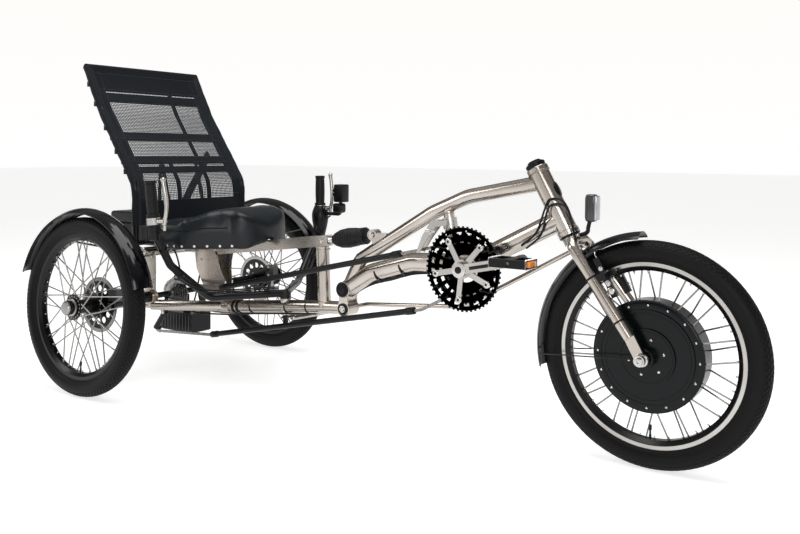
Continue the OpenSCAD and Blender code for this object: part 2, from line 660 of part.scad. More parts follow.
// Points on both sides of a line, t apart
function normals(p) = [for (i = [0 : len(p) - 1])
  let (d = unit(p[min(i + 1, len(p) - 1)] - p[max(i - 1, 0)])) [-d[1], d[0]]];
function band(p, t) = let (n = normals(p)) concat([for (i = [0 : len(p) - 1]) p[i] + n[i] * t / 2],
  [for (i = [len(p) - 1 : -1 : 0]) p[i] - n[i] * t / 2]);
module seat_mesh() color("black") on_axle()
  translate([0, seat_side - seat_tube_r - seat_gap, 0]) rotate([90, 0, 0])
  linear_extrude(2 * (seat_side - seat_tube_r - seat_gap))
  polygon(band([[30, 516], [30, 600], [-118, 806], [-199, 952]], 5));
cushion_low = 411;
cushion_wall = 14;
module seat_cushion() color("black") on_axle() difference() {
  intersection() {
    linear_extrude(600) union() {
      seat_plan(0, cushion_nose);
      translate([74, -165]) square([60, 330]);
    }
    translate([0, 300, 0]) rotate([90, 0, 0]) linear_extrude(600) polygon([[0, cushion_low],
      [cushion_nose - 30, cushion_low], [cushion_nose, cushion_low + 22],
      [cushion_nose, 478], [364, 508], [340, 524], [300, 529], [262, 523], [218, 503],
      [170, 491], [0, 489]]);
  }
  // hollow below, over the pan and its frame
  translate([0, 0, cushion_low - 1]) linear_extrude(pan_top + seat_gap - cushion_low + 1) union() {
    seat_plan(cushion_wall, cushion_nose);
    translate([0, -165]) square([140, 330]);
    for (side = [-1, 1]) translate([80, side * base_side - 15]) square([20, 30]);
  }
  // channel for the rail
  translate([0, -rail_w / 2 - 1, 0]) cube([cushion_nose + 10, rail_w + 2,
    rail_top(cushion_nose) + 1]);
}

// ---------- handlebar ----------
bar_z = 285;
grip_low = [270, -grip_y, 478];
grip_top = [262, -grip_y - 8, 618];
grip_way = unit(grip_top - grip_low);
link_pin = [bar_pivot_x - arm_back, arm_side, 202.5];
module handlebar() color("black") on_axle() {
  both_sides() tube([[bar_pivot_x, 0, bar_z], [312, -190, bar_z], [276, -300, 385],
    grip_low, grip_top], bar_r, 45);
  translate([bar_pivot_x, 0, 190]) cylinder(r = stem_r, h = bar_z - 190);
  translate([bar_pivot_x, 0, 271]) cylinder(r = 16, h = 20);
  // steering arm under the main tube, with its pin
  translate([bar_pivot_x, 0, link_pin[2] + 8.5])
    rotate(90 + atan2(arm_back, arm_side)) translate([-10, -9, 0])
    cube([norm([arm_back, arm_side]) + 20, 18, 6]);
  translate([link_pin[0], link_pin[1], link_pin[2] - 8]) cylinder(r = pin_r, h = 18);
}
grip_from = 42;          // where each fitting starts along the upright grip
lever_from = 23;
display_from = 11;
module handlebar_grips() color("dimgray") on_axle() both_sides() difference() {
  bar(grip_low + grip_way * grip_from, grip_top + grip_way * 2, grip_r);
  bar(grip_low, grip_top + grip_way * seat_gap, bar_r + seat_gap);
}
module brake_levers() color("silver") on_axle() both_sides() {
  foot = grip_low + grip_way * (lever_from + 9);
  difference() {
    union() {
      bar(grip_low + grip_way * lever_from, grip_low + grip_way * (grip_from - seat_gap),
        grip_r + 3);
      bar(foot + [12, 0, 0], foot + [46, 0, 2], 8);
      tube([foot + [44, 0, -8], foot + [52, 0, 40], foot + [42, -3, 112]], 5, 40);
    }
    bar(grip_low, grip_top, bar_r + seat_gap);
  }
}
module handlebar_display() color("black") on_axle() mirror([0, 1, 0]) {
  foot = grip_low + grip_way * (display_from + 5.5);
  difference() {
    union() {
      bar(grip_low + grip_way * display_from,
        grip_low + grip_way * (lever_from - seat_gap), grip_r + 2);
      tube([foot + [12, 0, 0], foot + [88, 0, 0], foot + [88, 0, 60]], 6, 12);
    }
    bar(grip_low, grip_top, bar_r + seat_gap);
  }
  translate(foot + [74, -16, 42]) cube([34, 32, 56]);
}
function steer_point(x, y, h) = [wheelbase + (x - fork_offset) * cos(head_angle) - h * sin(head_angle),
  y, wheel_r + (x - fork_offset) * sin(head_angle) + h * cos(head_angle)];
link_front = steer_point(-arm_back, arm_side, eye_z);
link_dir = [cos(head_angle), 0, sin(head_angle)];
link_knee = link_front - link_dir * 365;
module steering_rod() color("silver") on_axle() difference() {
  union() {
    tube([link_pin + [6, 0, 0], [500, arm_side, 222], [690, arm_side, 272], link_knee,
      link_front - link_dir * 6], link_r, 120);
    translate(link_pin - [0, 0, eye_t / 2]) cylinder(r = eye_r, h = eye_t);
    aim(link_front - [-sin(head_angle), 0, cos(head_angle)] * eye_t / 2,
      [-sin(head_angle), 0, cos(head_angle)]) cylinder(r = eye_r, h = eye_t);
  }
  translate(link_pin - [0, 0, 20]) cylinder(r = pin_r + seat_gap, h = 40);
  aim(link_front - [-sin(head_angle), 0, cos(head_angle)] * 20,
    [-sin(head_angle), 0, cos(head_angle)]) cylinder(r = pin_r + 4.5, h = 40);
}

// ---------- cranks ----------
ring_t = 3;
ring_step = 7;
arm_y = chain_y + 2 * ring_step + 7;
arm_t = 14;
pedal_in = arm_y + arm_t + 8;
pedal_w = 62;
pedal_axle_r = 5;
crank_end = [crank_x + crank_len * cos(crank_turn), 0, crank_z + crank_len * sin(crank_turn)];
other_end = [2 * crank_x - crank_end[0], 0, 2 * crank_z - crank_end[2]];
module ring(i, out, in) difference() {
  across(crank_x, crank_z, out, -chain_y - i * ring_step - ring_t / 2,
    -chain_y - i * ring_step + ring_t / 2);
  across(crank_x, crank_z, in, -chain_y - i * ring_step - ring_t,
    -chain_y - i * ring_step + ring_t);
}
module chainrings() color("black") on_axle() {
  ring(2, big_ring_r, 68);
  ring(1, big_ring_r - 18, 44);
  ring(0, chain_ring_r - 1, 34);
  for (a = [0 : 72 : 359]) {
    x = crank_x + 76 * cos(a + crank_turn + 36);
    z = crank_z + 76 * sin(a + crank_turn + 36);
    across(x, z, 5, -chain_y - 2 * ring_step + 1, -chain_y - ring_step - 1);
    across(crank_x + (x - crank_x) * 0.66, crank_z + (z - crank_z) * 0.66, 4,
      -chain_y - ring_step + 1, -chain_y - 1);
  }
}
spider_y = chain_y + 2 * ring_step + ring_t / 2;
module crank_arms() color("silver") on_axle() {
  across(crank_x, crank_z, crank_axle_r, -arm_y - 2, arm_y + 2);
  for (side = [-1, 1]) {
    y0 = side < 0 ? -arm_y - arm_t : arm_y;
    end = side < 0 ? crank_end : other_end;
    across(crank_x, crank_z, 19, y0, y0 + arm_t);
    across(end[0], end[2], 14, y0, y0 + arm_t);
    translate([crank_x, y0 + 1, crank_z]) rotate([0, side < 0 ? -crank_turn : 180 - crank_turn, 0])
      translate([0, 0, -12]) cube([crank_len, arm_t - 2, 24]);
    across(end[0], end[2], pedal_axle_r, side < 0 ? -pedal_in - pedal_w + 8 : y0 + 2,
      side < 0 ? y0 + arm_t - 2 : pedal_in + pedal_w - 8);
  }
  // five-armed spider that carries the chainrings
  across(crank_x, crank_z, 24, -arm_y - 2, -spider_y);
  for (a = [0 : 72 : 359]) translate([crank_x, -spider_y, crank_z])
    rotate([0, -a - crank_turn - 36, 0]) translate([0, -5, -7]) cube([82, 5, 14]);
}
pedal_l = 92;
pedal_h = 20;
module pedal(end, y0) difference() {
  translate([end[0] - pedal_l / 2, y0, end[2] - pedal_h / 2])
    cube([pedal_l, pedal_w, pedal_h]);
  for (dx = [-pedal_l / 4 - 2, pedal_l / 4 + 2])
    translate([end[0] + dx - 13, y0 + 8, end[2] - pedal_h])
    cube([26, pedal_w - 16, 2 * pedal_h]);
  across(end[0], end[2], pedal_axle_r + run_fit, y0 - 1, y0 + pedal_w + 1);
}
module right_pedal() color("black") on_axle() pedal(crank_end, -pedal_in - pedal_w);
module left_pedal() color("black") on_axle() pedal(other_end, pedal_in);

front_frame();
rear_frame();
pivot_caps();
suspension_shock();
shock_boot();
rear_axle();
rear_fenders();
rear_brakes();
seat_frame();
seat_mesh();
seat_cushion();
cassette();
rear_derailleur();
front_derailleur();
chain();
chain_tubes();
battery_case();
motor_controller();
frame_cables();
fork();
steerer_caps();
front_fender();
front_brake();
headlight();
front_tyre();
front_rim();
front_spokes();
hub_motor();
right_rear_tyre();
right_rear_rim();
right_rear_spokes();
right_rear_hub();
left_rear_tyre();
left_rear_rim();
left_rear_spokes();
left_rear_hub();
handlebar();
handlebar_grips();
brake_levers();
handlebar_display();
steering_rod();
chainrings();
crank_arms();
right_pedal();
left_pedal();
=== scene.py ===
import json
from math import cos, hypot, pi, radians, sin, sqrt

import bmesh
import bpy
from mathutils import Matrix, Vector
from mathutils.bvhtree import BVHTree


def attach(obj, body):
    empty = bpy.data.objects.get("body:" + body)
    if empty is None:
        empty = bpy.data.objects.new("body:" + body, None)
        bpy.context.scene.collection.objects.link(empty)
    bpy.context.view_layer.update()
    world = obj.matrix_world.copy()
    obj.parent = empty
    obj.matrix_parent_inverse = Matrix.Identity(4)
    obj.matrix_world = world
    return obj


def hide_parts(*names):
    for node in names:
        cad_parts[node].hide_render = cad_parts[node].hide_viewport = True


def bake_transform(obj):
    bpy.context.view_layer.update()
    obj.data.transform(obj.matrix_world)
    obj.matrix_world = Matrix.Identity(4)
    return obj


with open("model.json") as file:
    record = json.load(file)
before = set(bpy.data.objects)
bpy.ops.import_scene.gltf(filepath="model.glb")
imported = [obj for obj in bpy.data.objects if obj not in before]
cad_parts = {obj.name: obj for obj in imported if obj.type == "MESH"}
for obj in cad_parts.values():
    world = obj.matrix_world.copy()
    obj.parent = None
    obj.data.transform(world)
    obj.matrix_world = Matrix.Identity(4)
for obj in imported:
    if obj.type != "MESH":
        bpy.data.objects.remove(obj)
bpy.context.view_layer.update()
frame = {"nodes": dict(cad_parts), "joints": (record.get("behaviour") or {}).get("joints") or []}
joint = {j["name"]: j for j in frame["joints"]}

# ---- Camera, floor and light ----
# Eye level of a person kneeling off the right front corner, as the trike stands on a
# plain white studio floor with one big soft light above it and one from the front.
axle_x = joint["right_rear_spin"]["pos_m"][0]


def at(x, y, z):
    """A place given in millimetres ahead of the rear axle, to the left, and up."""
    return Vector((axle_x + x / 1000, y / 1000, z / 1000))


def spot(name):
    """A joint's place in those millimetres."""
    x, y, z = joint[name]["pos_m"]
    return (x - axle_x) * 1000, y * 1000, z * 1000


camera_place = at(2132, -1897, 701)
turn, tilt, lean = radians(34.70), radians(1.58), radians(0.37)
back = Vector((sin(turn) * cos(tilt), -cos(turn) * cos(tilt), sin(tilt)))
right = Vector((cos(turn), sin(turn), 0))
up = back.cross(right)
level_right = right * cos(lean) + up * sin(lean)
level_up = up * cos(lean) - right * sin(lean)
camera = bpy.data.objects.new("camera", bpy.data.cameras.new("camera"))
bpy.context.scene.collection.objects.link(camera)
camera.matrix_world = Matrix.Translation(camera_place) @ Matrix(
    [(level_right[i], level_up[i], back[i]) for i in range(3)]).to_4x4()
camera.data.sensor_width = 36
camera.data.lens = 38.835
camera.data.shift_x = 0.00625
camera.data.shift_y = -0.11375
camera.data.clip_end = 100
bpy.context.scene.camera = camera
bpy.context.scene.view_settings.view_transform = "Standard"


def put(name, mesh):
    """A new object at the origin that holds this mesh."""
    made = bpy.data.objects.new(name, mesh)
    bpy.context.scene.collection.objects.link(made)
    return made


def new_material(name):
    """An empty material: its node tree and its Principled shader."""
    material = bpy.data.materials.new(name)
    material.use_nodes = True
    tree = material.node_tree
    return material, tree, tree.nodes["Principled BSDF"]


def wire(tree, kind, inputs=None, **settings):
    """Adds a node, sets its properties, and links or sets its inputs."""
    node = tree.nodes.new(kind)
    for key, value in settings.items():
        setattr(node, key, value)
    for key, value in (inputs or {}).items():
        if isinstance(value, bpy.types.NodeSocket):
            tree.links.new(value, node.inputs[key])
        else:
            node.inputs[key].default_value = value
    return node


floor_half, floor_drop = 30, 0.0012
floor_mesh = bpy.data.meshes.new("studio_floor")
floor_mesh.from_pydata([(x * floor_half, y * floor_half, -floor_drop)
                        for x, y in ((-1, -1), (1, -1), (1, 1), (-1, 1))], [], [(0, 1, 2, 3)])
floor = put("studio_floor", floor_mesh)
floor_paint, tree, shader = new_material("studio_floor")
shader.inputs["Base Color"].default_value = (0.62, 0.62, 0.62, 1)
shader.inputs["Roughness"].default_value = 0.6
shader.inputs["Emission Color"].default_value = (1, 1, 1, 1)
shader.inputs["Emission Strength"].default_value = 0.66
floor_mesh.materials.append(floor_paint)

world = bpy.data.worlds.new("studio")
bpy.context.scene.world = world
world.use_nodes = True
sky = world.node_tree
height = wire(sky, "ShaderNodeSeparateXYZ", {
    "Vector": wire(sky, "ShaderNodeTexCoord").outputs["Generated"]})
glow = wire(sky, "ShaderNodeValToRGB", {"Fac": height.outputs["Z"]})
glow.color_ramp.elements[0].position = 0.0
glow.color_ramp.elements[0].color = (1, 1, 1, 1)
glow.color_ramp.elements[1].position = 1.0
glow.color_ramp.elements[1].color = (0.42, 0.42, 0.42, 1)
for place, grey in ((0.22, 1.0), (0.30, 0.20), (0.46, 0.08), (0.62, 0.34)):
    stop = glow.color_ramp.elements.new(place)
    stop.color = (grey, grey * 0.97, grey * 0.94, 1)
sky.links.new(glow.outputs["Color"], sky.nodes["Background"].inputs["Color"])
sky.nodes["Background"].inputs["Strength"].default_value = 1.0


def lamp(name, place, aim, size, watts, tone=(1, 1, 1)):
    """A square soft light at a place, turned to what it lights."""
    light = bpy.data.lights.new(name, "AREA")
    light.size = size
    light.energy = watts
    light.color = tone
    held = bpy.data.objects.new(name, light)
    bpy.context.scene.collection.objects.link(held)
    held.location = place
    held.rotation_euler = (Vector(place) - Vector(aim)).to_track_quat("Z", "Y").to_euler()


lamp("overhead", (0.2, -0.4, 3.4), (0, 0, 0.3), 2.6, 95)
lamp("front_fill", (2.6, -3.2, 1.7), (0, 0, 0.4), 1.6, 42)
lamp("rear_fill", (-2.6, -2.4, 2.2), (-0.5, 0, 0.4), 1.4, 32, (1.0, 0.97, 0.94))

# ---- Titanium frame, fork and steering rod ----
# Bead-blasted titanium tubes, TIG welded; the surface keeps faint lengthwise brush
# marks and a straw tint near the welds, and the weld beads stand a little proud.


def surface(name, colour, rough, metal=0.0, grain=600, dent=0.12, stretch=(1, 1, 1),
            tint=None, coat=0.0, sheen=0.0, glint=0.5):
    """A finish: fine grain as bump, patches of other roughness, and a slow colour drift."""
    spread = 0.24
    material, tree, shader = new_material(name)
    place = wire(tree, "ShaderNodeTexCoord").outputs["Object"]
    slide = wire(tree, "ShaderNodeMapping", {"Vector": place, "Scale": stretch})
    fine = wire(tree, "ShaderNodeTexNoise", {"Vector": slide.outputs[0], "Scale": grain,
                                             "Detail": 4, "Roughness": 0.6})
    slow = wire(tree, "ShaderNodeTexNoise", {"Vector": place, "Scale": 7, "Detail": 3})
    shade = wire(tree, "ShaderNodeValToRGB", {"Fac": slow.outputs["Fac"]})
    shade.color_ramp.elements[0].position = 0.35
    shade.color_ramp.elements[1].position = 0.68
    other = tint or [c * (1 - spread) for c in colour]
    shade.color_ramp.elements[0].color = (*other, 1)
    shade.color_ramp.elements[1].color = (*colour, 1)
    tree.links.new(shade.outputs["Color"], shader.inputs["Base Color"])
    both = wire(tree, "ShaderNodeMath", {0: fine.outputs["Fac"], 1: slow.outputs["Fac"]},
                operation="ADD")
    patch = wire(tree, "ShaderNodeMapRange", {
        "Value": both.outputs[0], "From Min": 0.6, "From Max": 1.4,
        "To Min": max(0.03, rough * (1 - spread)), "To Max": min(1, rough * (1 + spread))})
    tree.links.new(patch.outputs[0], shader.inputs["Roughness"])
    bump = wire(tree, "ShaderNodeBump", {"Height": fine.outputs["Fac"], "Strength": dent,
                                         "Distance": 0.0004})
    tree.links.new(bump.outputs["Normal"], shader.inputs["Normal"])
    shader.inputs["Metallic"].default_value = metal
    shader.inputs["Coat Weight"].default_value = coat
    shader.inputs["Coat Roughness"].default_value = 0.08
    shader.inputs["Sheen Weight"].default_value = sheen
    shader.inputs["Specular IOR Level"].default_value = glint
    return material


def dress(material, *nodes):
    """Gives CAD nodes this material."""
    for name in nodes:
        mesh = frame["nodes"][name].data
        mesh.materials.clear()
        mesh.materials.append(material)


def ride(made, body, material):
    """Gives a piece its finish and fixes it to a body of the trike."""
    made.data.materials.clear()
    made.data.materials.append(material)
    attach(made, body)
    return made


titanium = surface("titanium", (0.52, 0.485, 0.45), 0.22, 1.0, grain=900, dent=0.06,
                   stretch=(0.05, 1, 1), tint=(0.41, 0.37, 0.33))
weld_metal = surface("weld_metal", (0.46, 0.41, 0.36), 0.30, 1.0, grain=500, dent=0.3,
                     tint=(0.34, 0.28, 0.22))
dress(titanium, "front_frame", "rear_frame", "fork", "steering_rod")


def sweep(name, points, radius, smooth=True, rings=10, close=False):
    """A round strand along points; smooth runs a curve through them."""
    line = bpy.data.curves.new(name, "CURVE")
    line.dimensions = "3D"
    line.bevel_depth = radius
    line.bevel_resolution = max(0, rings // 4)
    line.use_fill_caps = not close
    spline = line.splines.new("BEZIER" if smooth else "POLY")
    if smooth:
        spline.bezier_points.add(len(points) - 1)
        for knot, p in zip(spline.bezier_points, points):
            knot.co = p
            knot.handle_left_type = knot.handle_right_type = "AUTO"
        spline.resolution_u = 8
    else:
        spline.points.add(len(points) - 1)
        for knot, p in zip(spline.points, points):
            knot.co = (*p, 1)
    spline.use_cyclic_u = close
    held = bpy.data.objects.new(name + "_line", line)
    bpy.context.scene.collection.objects.link(held)
    mesh = bpy.data.meshes.new_from_object(
        held.evaluated_get(bpy.context.evaluated_depsgraph_get()))
    mesh.name = name
    bpy.data.objects.remove(held)
    bpy.data.curves.remove(line)
    for face in mesh.polygons:
        face.use_smooth = True
    return mesh


def circle(centre, axis, radius, count=32, wave=0.0, waves=0):
    """Points round a circle, with ripples along the axis if asked."""
    axis = Vector(axis).normalized()
    side = axis.orthogonal().normalized()
    other = axis.cross(side)
    return [Vector(centre) + (side * cos(a) + other * sin(a)) * radius
            + axis * wave * sin(a * waves) for a in (2 * pi * i / count for i in range(count))]


def gather(name, meshes):
    """Joins meshes into one."""
    whole = bmesh.new()
    for mesh in meshes:
        whole.from_mesh(mesh)
        bpy.data.meshes.remove(mesh)
    joined = bpy.data.meshes.new(name)
    whole.to_mesh(joined)
    whole.free()
    for face in joined.polygons:
        face.use_smooth = True
    return joined


def fit(name, meshes, body, material):
    """One piece made of several meshes, finished and fixed to a body."""
    return ride(put(name, gather(name, meshes)), body, material)


front_x, _, front_z = spot("front_wheel_spin")
head_lean, fork_offset = radians(29), 49


def on_head(h):
    """A point on the steering axis, h mm above the foot of the front axle on it."""
    return at(front_x - fork_offset * cos(head_lean) - h * sin(head_lean), 0,
              front_z - fork_offset * sin(head_lean) + h * cos(head_lean))


head_way = (on_head(400) - on_head(300)).normalized()
crank_x, _, crank_z = spot("crank_spin")
lug_x, lug_z = 662, 320
beads = [(at(lug_x, -25.2, lug_z), (0, 1, 0), 0.0212), (at(lug_x, 25.2, lug_z), (0, 1, 0), 0.0212),
         (at(572, 0, 425), (0, 0, 1), 0.0192), (at(577.5, 0, 277), (0.05, 0, 1), 0.0192),
         (at(crank_x, -33, crank_z), (0, 1, 0), 0.0212),
         (at(crank_x, 33, crank_z), (0, 1, 0), 0.0212), (at(430, 0, 268), (0, 0, 1), 0.0152),
         (at(986, 0, 545), (0.18, 0, -0.98), 0.0145), (at(1005, 0, 446), (0.18, 0, -0.98), 0.0145),
         (on_head(329), head_way, 0.0262), (on_head(484), head_way, 0.0262)]
fit("weld_beads", [
    sweep("bead", circle(c, axis, r, 72, 0.0005, 24), 0.0013, False, close=True)
    for c, axis, r in beads], "frame", weld_metal)

# ---- Hinge caps, shock absorber and its boot ----
# The rear frame swings on a bolt under the lug, and a rubber-booted shock absorber
# holds the seat rail off the arched tube. The lug is closed by coarse plastic caps.
black_plastic = surface("black_plastic", (0.003, 0.003, 0.0035), 0.34, grain=1400, dent=0.25,
                        tint=(0.002, 0.002, 0.0025), glint=0.22)
bright_steel = surface("bright_steel", (0.62, 0.61, 0.59), 0.18, 1.0, grain=500, dent=0.04,
                       tint=(0.46, 0.45, 0.44))
boot_rubber = surface("boot_rubber", (0.004, 0.004, 0.005), 0.42, grain=800, dent=0.3, glint=0.22)
dress(black_plastic, "pivot_caps")
dress(bright_steel, "suspension_shock")


def axis_place(centre, axis):
    """A placement with its Z along the axis."""
    return Matrix.Translation(centre) @ Vector(axis).to_track_quat("Z", "Y").to_matrix().to_4x4()


def lathe(name, profile, centre, axis, steps=48):
    """A turned shape: profile is (radius, height) in mm from the bottom up, about the axis. A
    profile that comes back to its first point makes a ring."""
    turned = bmesh.new()
    rings = []
    for radius, rise in profile:
        if radius < 1e-6:
            rings.append([turned.verts.new((0, 0, rise / 1000))] * steps)
        else:
            rings.append([turned.verts.new((radius / 1000 * cos(a), radius / 1000 * sin(a),
                                            rise / 1000))
                          for a in (2 * pi * i / steps for i in range(steps))])
    for low, high in zip(rings, rings[1:]):
        for i in range(steps):
            k = (i + 1) % steps
            ring = [low[i], low[k], high[k], high[i]]
            ring = [v for n, v in enumerate(ring) if v not in ring[:n]]
            if len(ring) > 2:
                turned.faces.new(ring)
    if profile[0] == profile[-1]:
        bmesh.ops.remove_doubles(turned, verts=turned.verts, dist=1e-6)
    else:
        for ring, flip in ((rings[0], True), (rings[-1], False)):
            if ring[0] is not ring[1]:
                turned.faces.new(ring[::-1] if flip else ring)
    bmesh.ops.recalc_face_normals(turned, faces=turned.faces)
    mesh = bpy.data.meshes.new(name)
    turned.to_mesh(mesh)
    turned.free()
    for face in mesh.polygons:
        face.use_smooth = len(face.vertices) < 5
    mesh.set_sharp_from_angle(angle=radians(38))
    mesh.transform(axis_place(centre, axis))
    return mesh


def smooth_step(t):
    """0 to 1 as t goes from 0 to 1, with a soft start and end."""
    t = min(1, max(0, t))
    return t * t * (3 - 2 * t)


def between(rows, s):
    """A value read off a table of (place, value) rows."""
    for (a, u), (b, v) in zip(rows, rows[1:]):
        if s <= b:
            return u + (v - u) * (s - a) / (b - a)
    return rows[-1][1]


shock_foot, shock_bolt = at(596, 0, 451), at(752, 0, 476)
shock_way = (shock_bolt - shock_foot).normalized()
swell = [(16.5, 13), (28, 20), (46, 26), (71, 28), (96, 26), (108, 24), (132.6, 23.6)]
fold_depth, fold_pitch = 1.6, 9
boot = [(13, 16.5)]
for n in range(76):
    rise = 17.5 + n * 1.5
    dip = fold_depth * (0.5 - 0.5 * cos(2 * pi * rise / fold_pitch)) if 24 < rise < 128 else 0
    boot.append((between(swell, rise) - dip, rise))
boot.append((8, 132.6))
shell = put("shock_boot_shell", lathe("shock_boot_shell", boot, shock_foot, shock_way))
ride(shell, "frame", boot_rubber)
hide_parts("shock_boot")


def start_tree(name, sizes):
    """A Geometry Nodes tree with these named sizes and a finish as its inputs."""
    tree = bpy.data.node_groups.new(name, "GeometryNodeTree")
    for label, kind in sizes.items():
        tree.interface.new_socket(label, in_out="INPUT", socket_type="NodeSocket" + kind)
    tree.interface.new_socket("Finish", in_out="INPUT", socket_type="NodeSocketMaterial")
    tree.interface.new_socket("Geometry", in_out="OUTPUT", socket_type="NodeSocketGeometry")
    return tree, tree.nodes.new("NodeGroupInput").outputs


def applied(made):
    """A piece's mesh with its modifiers applied."""
    scene_now = bpy.context.evaluated_depsgraph_get()
    return bpy.data.meshes.new_from_object(made.evaluated_get(scene_now), depsgraph=scene_now)


def end_tree(tree, entry, made):
    """Closes a tree: real meshes, in the given finish."""
    real = wire(tree, "GeometryNodeRealizeInstances", {"Geometry": made})
    finish = wire(tree, "GeometryNodeSetMaterial", {"Geometry": real.outputs[0],
                                                    "Material": entry["Finish"]})
    tree.links.new(finish.outputs[0], tree.nodes.new("NodeGroupOutput").inputs["Geometry"])


def grow(tree, finish, place=None, **sizes):
    """Runs a tree with these sizes and returns its plain mesh, set in place."""
    seed = put("seed", bpy.data.meshes.new("seed"))
    step = seed.modifiers.new("grow", "NODES")
    step.node_group = tree
    for socket in tree.interface.items_tree:
        if socket.in_out == "INPUT":
            step[socket.identifier] = finish if socket.name == "Finish" else sizes[socket.name]
    seed.update_tag()
    mesh = applied(seed)
    mesh.transform(place or Matrix())
    bpy.data.objects.remove(seed)
    return mesh


ring_tree, entry = start_tree("ring_of_studs", {
    "Count": "Int", "Radius": "Float", "Height": "Float", "Lean": "Float", "Turn": "Float",
    "Sides": "Int", "Top": "Float", "Size": "Vector"})
stud = wire(ring_tree, "GeometryNodeMeshCone", {
    "Vertices": entry["Sides"], "Radius Top": entry["Top"], "Radius Bottom": 1.0, "Depth": 1.0})
square = wire(ring_tree, "ShaderNodeMath", {0: pi, 1: entry["Sides"]}, operation="DIVIDE")
stud = wire(ring_tree, "GeometryNodeTransform", {
    "Geometry": stud.outputs["Mesh"],
    "Rotation": wire(ring_tree, "ShaderNodeCombineXYZ", {"Z": square.outputs[0]}).outputs[0]})
stud = wire(ring_tree, "GeometryNodeTransform", {"Geometry": stud.outputs[0],
                                                 "Scale": entry["Size"]})
round_line = wire(ring_tree, "GeometryNodeMeshCircle", {"Vertices": entry["Count"],
                                                        "Radius": entry["Radius"]})
lift = wire(ring_tree, "ShaderNodeCombineXYZ", {"Z": entry["Height"]})
round_line = wire(ring_tree, "GeometryNodeTransform", {"Geometry": round_line.outputs[0],
                                                       "Translation": lift.outputs[0]})
share = wire(ring_tree, "ShaderNodeMath", {0: 2 * pi, 1: entry["Count"]}, operation="DIVIDE")
angle = wire(ring_tree, "ShaderNodeMath", {
    0: wire(ring_tree, "GeometryNodeInputIndex").outputs[0], 1: share.outputs[0]},
    operation="MULTIPLY")
tip = wire(ring_tree, "ShaderNodeMath", {0: pi / 2, 1: entry["Lean"]}, operation="SUBTRACT")
facing = wire(ring_tree, "FunctionNodeEulerToRotation", {
    "Euler": wire(ring_tree, "ShaderNodeCombineXYZ", {
        "Y": tip.outputs[0], "Z": angle.outputs[0]}).outputs[0]})
studs = wire(ring_tree, "GeometryNodeInstanceOnPoints", {
    "Points": round_line.outputs[0], "Instance": stud.outputs[0], "Rotation": facing.outputs[0]})
spun = wire(ring_tree, "GeometryNodeTransform", {
    "Geometry": studs.outputs[0],
    "Rotation": wire(ring_tree, "ShaderNodeCombineXYZ", {"Z": entry["Turn"]}).outputs[0]})
end_tree(ring_tree, entry, spun.outputs[0])


def stud_ring(finish, place, count, radius, height, lean, size, sides=6, top=1.0, phase=0.0):
    """Heads, blocks or teeth round an axis, in mm: lean 0 points them outwards, 90 along it."""
    wide = 2000 * cos(pi / sides)
    return grow(ring_tree, finish, place, Count=count, Radius=radius / 1000, Height=height / 1000,
                Lean=radians(lean), Turn=radians(phase), Sides=sides, Top=top,
                Size=(size[0] / wide, size[1] / wide, size[2] / 1000))


def bolt(finish, centre, axis, wide, tall):
    """One bolt head on a round washer."""
    head = lathe("head", [(wide * r, tall * h) for r, h in (
        (0, 0), (0.72, 0), (0.72, 0.25), (0.5, 0.25), (0.5, 0.9), (0.42, 1), (0.22, 1),
        (0.22, 0.55), (0, 0.55))], centre, axis, 18)
    head.materials.append(finish)
    return head


hinge_bolts, knurls = [], []
for side in (-1, 1):
    hinge_bolts += [bolt(bright_steel, at(lug_x, side * 26.3, 266), (0, side, 0), 13, 4),
                    bolt(bright_steel, shock_bolt + Vector((0, side * 0.0156, 0)), (0, side, 0),
                         11, 5)]
    knurls += [stud_ring(black_plastic, axis_place(at(lug_x, side * 28.6, lug_z), (0, side, 0)),
                         24, 15.5, 0, 90, (2.2, 2.6, 1.8), 4, 0.7),
               lathe("cap", [(0, 0), (12, 0), (12, 1.4), (10, 2.4), (0, 2.6)],
                     at(lug_x, side * 28.8, lug_z), (0, side, 0))]
fit("hinge_bolts", hinge_bolts, "frame", bright_steel)
fit("lug_cap_faces", knurls, "frame", black_plastic)

# ---- Tyres ----
# Black rubber balloon tyres with rows of small tread blocks, a smooth sidewall and
# moulded rings above the bead.
wheels = {"front_wheel": (at(front_x, 0, front_z), 90, "front"),
          "right_rear_wheel": (at(0, -381.5, 254.19), 87, "right_rear"),
          "left_rear_wheel": (at(0, 381.5, 254.19), -87, "left_rear")}
tyre_ring, tyre_section, tread_seat, tread_blocks = 228, 26.5, 26.1, 112


def wheel_place(body):
    """A placement on the wheel's centre with its Z along the axle, outboard on the rear ones."""
    centre, turn_x, _ = wheels[body]
    return Matrix.Translation(centre) @ Matrix.Rotation(radians(turn_x), 4, "X")


tyre_rubber = surface("tyre_rubber", (0.0035, 0.0035, 0.004), 0.52, grain=1100, dent=0.22,
                      tint=(0.002, 0.002, 0.0025), glint=0.14)
for body, (_, _, name) in wheels.items():
    dress(tyre_rubber, name + "_tyre")
    place = wheel_place(body)
    tread = []
    for n, lean in enumerate((0, 13, 26, 39, 52)):
        for way in ((1, -1) if n else (1,)):
            a = radians(lean * way)
            tread.append(stud_ring(
                tyre_rubber, place, tread_blocks, tyre_ring + tread_seat * cos(a),
                tread_seat * sin(a), lean * way, (4.6, 10.5 if n % 2 else 11.5, 1.1), 4, 0.86,
                1.6 * (n % 2)))
    for z in (-1, 1):
        for radius in (219.5, 216.5):
            wall = sqrt(tyre_section ** 2 - (tyre_ring - radius) ** 2)
            tread.append(sweep("ring", [place @ p for p in circle(
                (0, 0, z * wall / 1000), (0, 0, 1), radius / 1000, 96)], 0.0005, False, 4, True))
    fit(name + "_tread", tread, body, tyre_rubber)

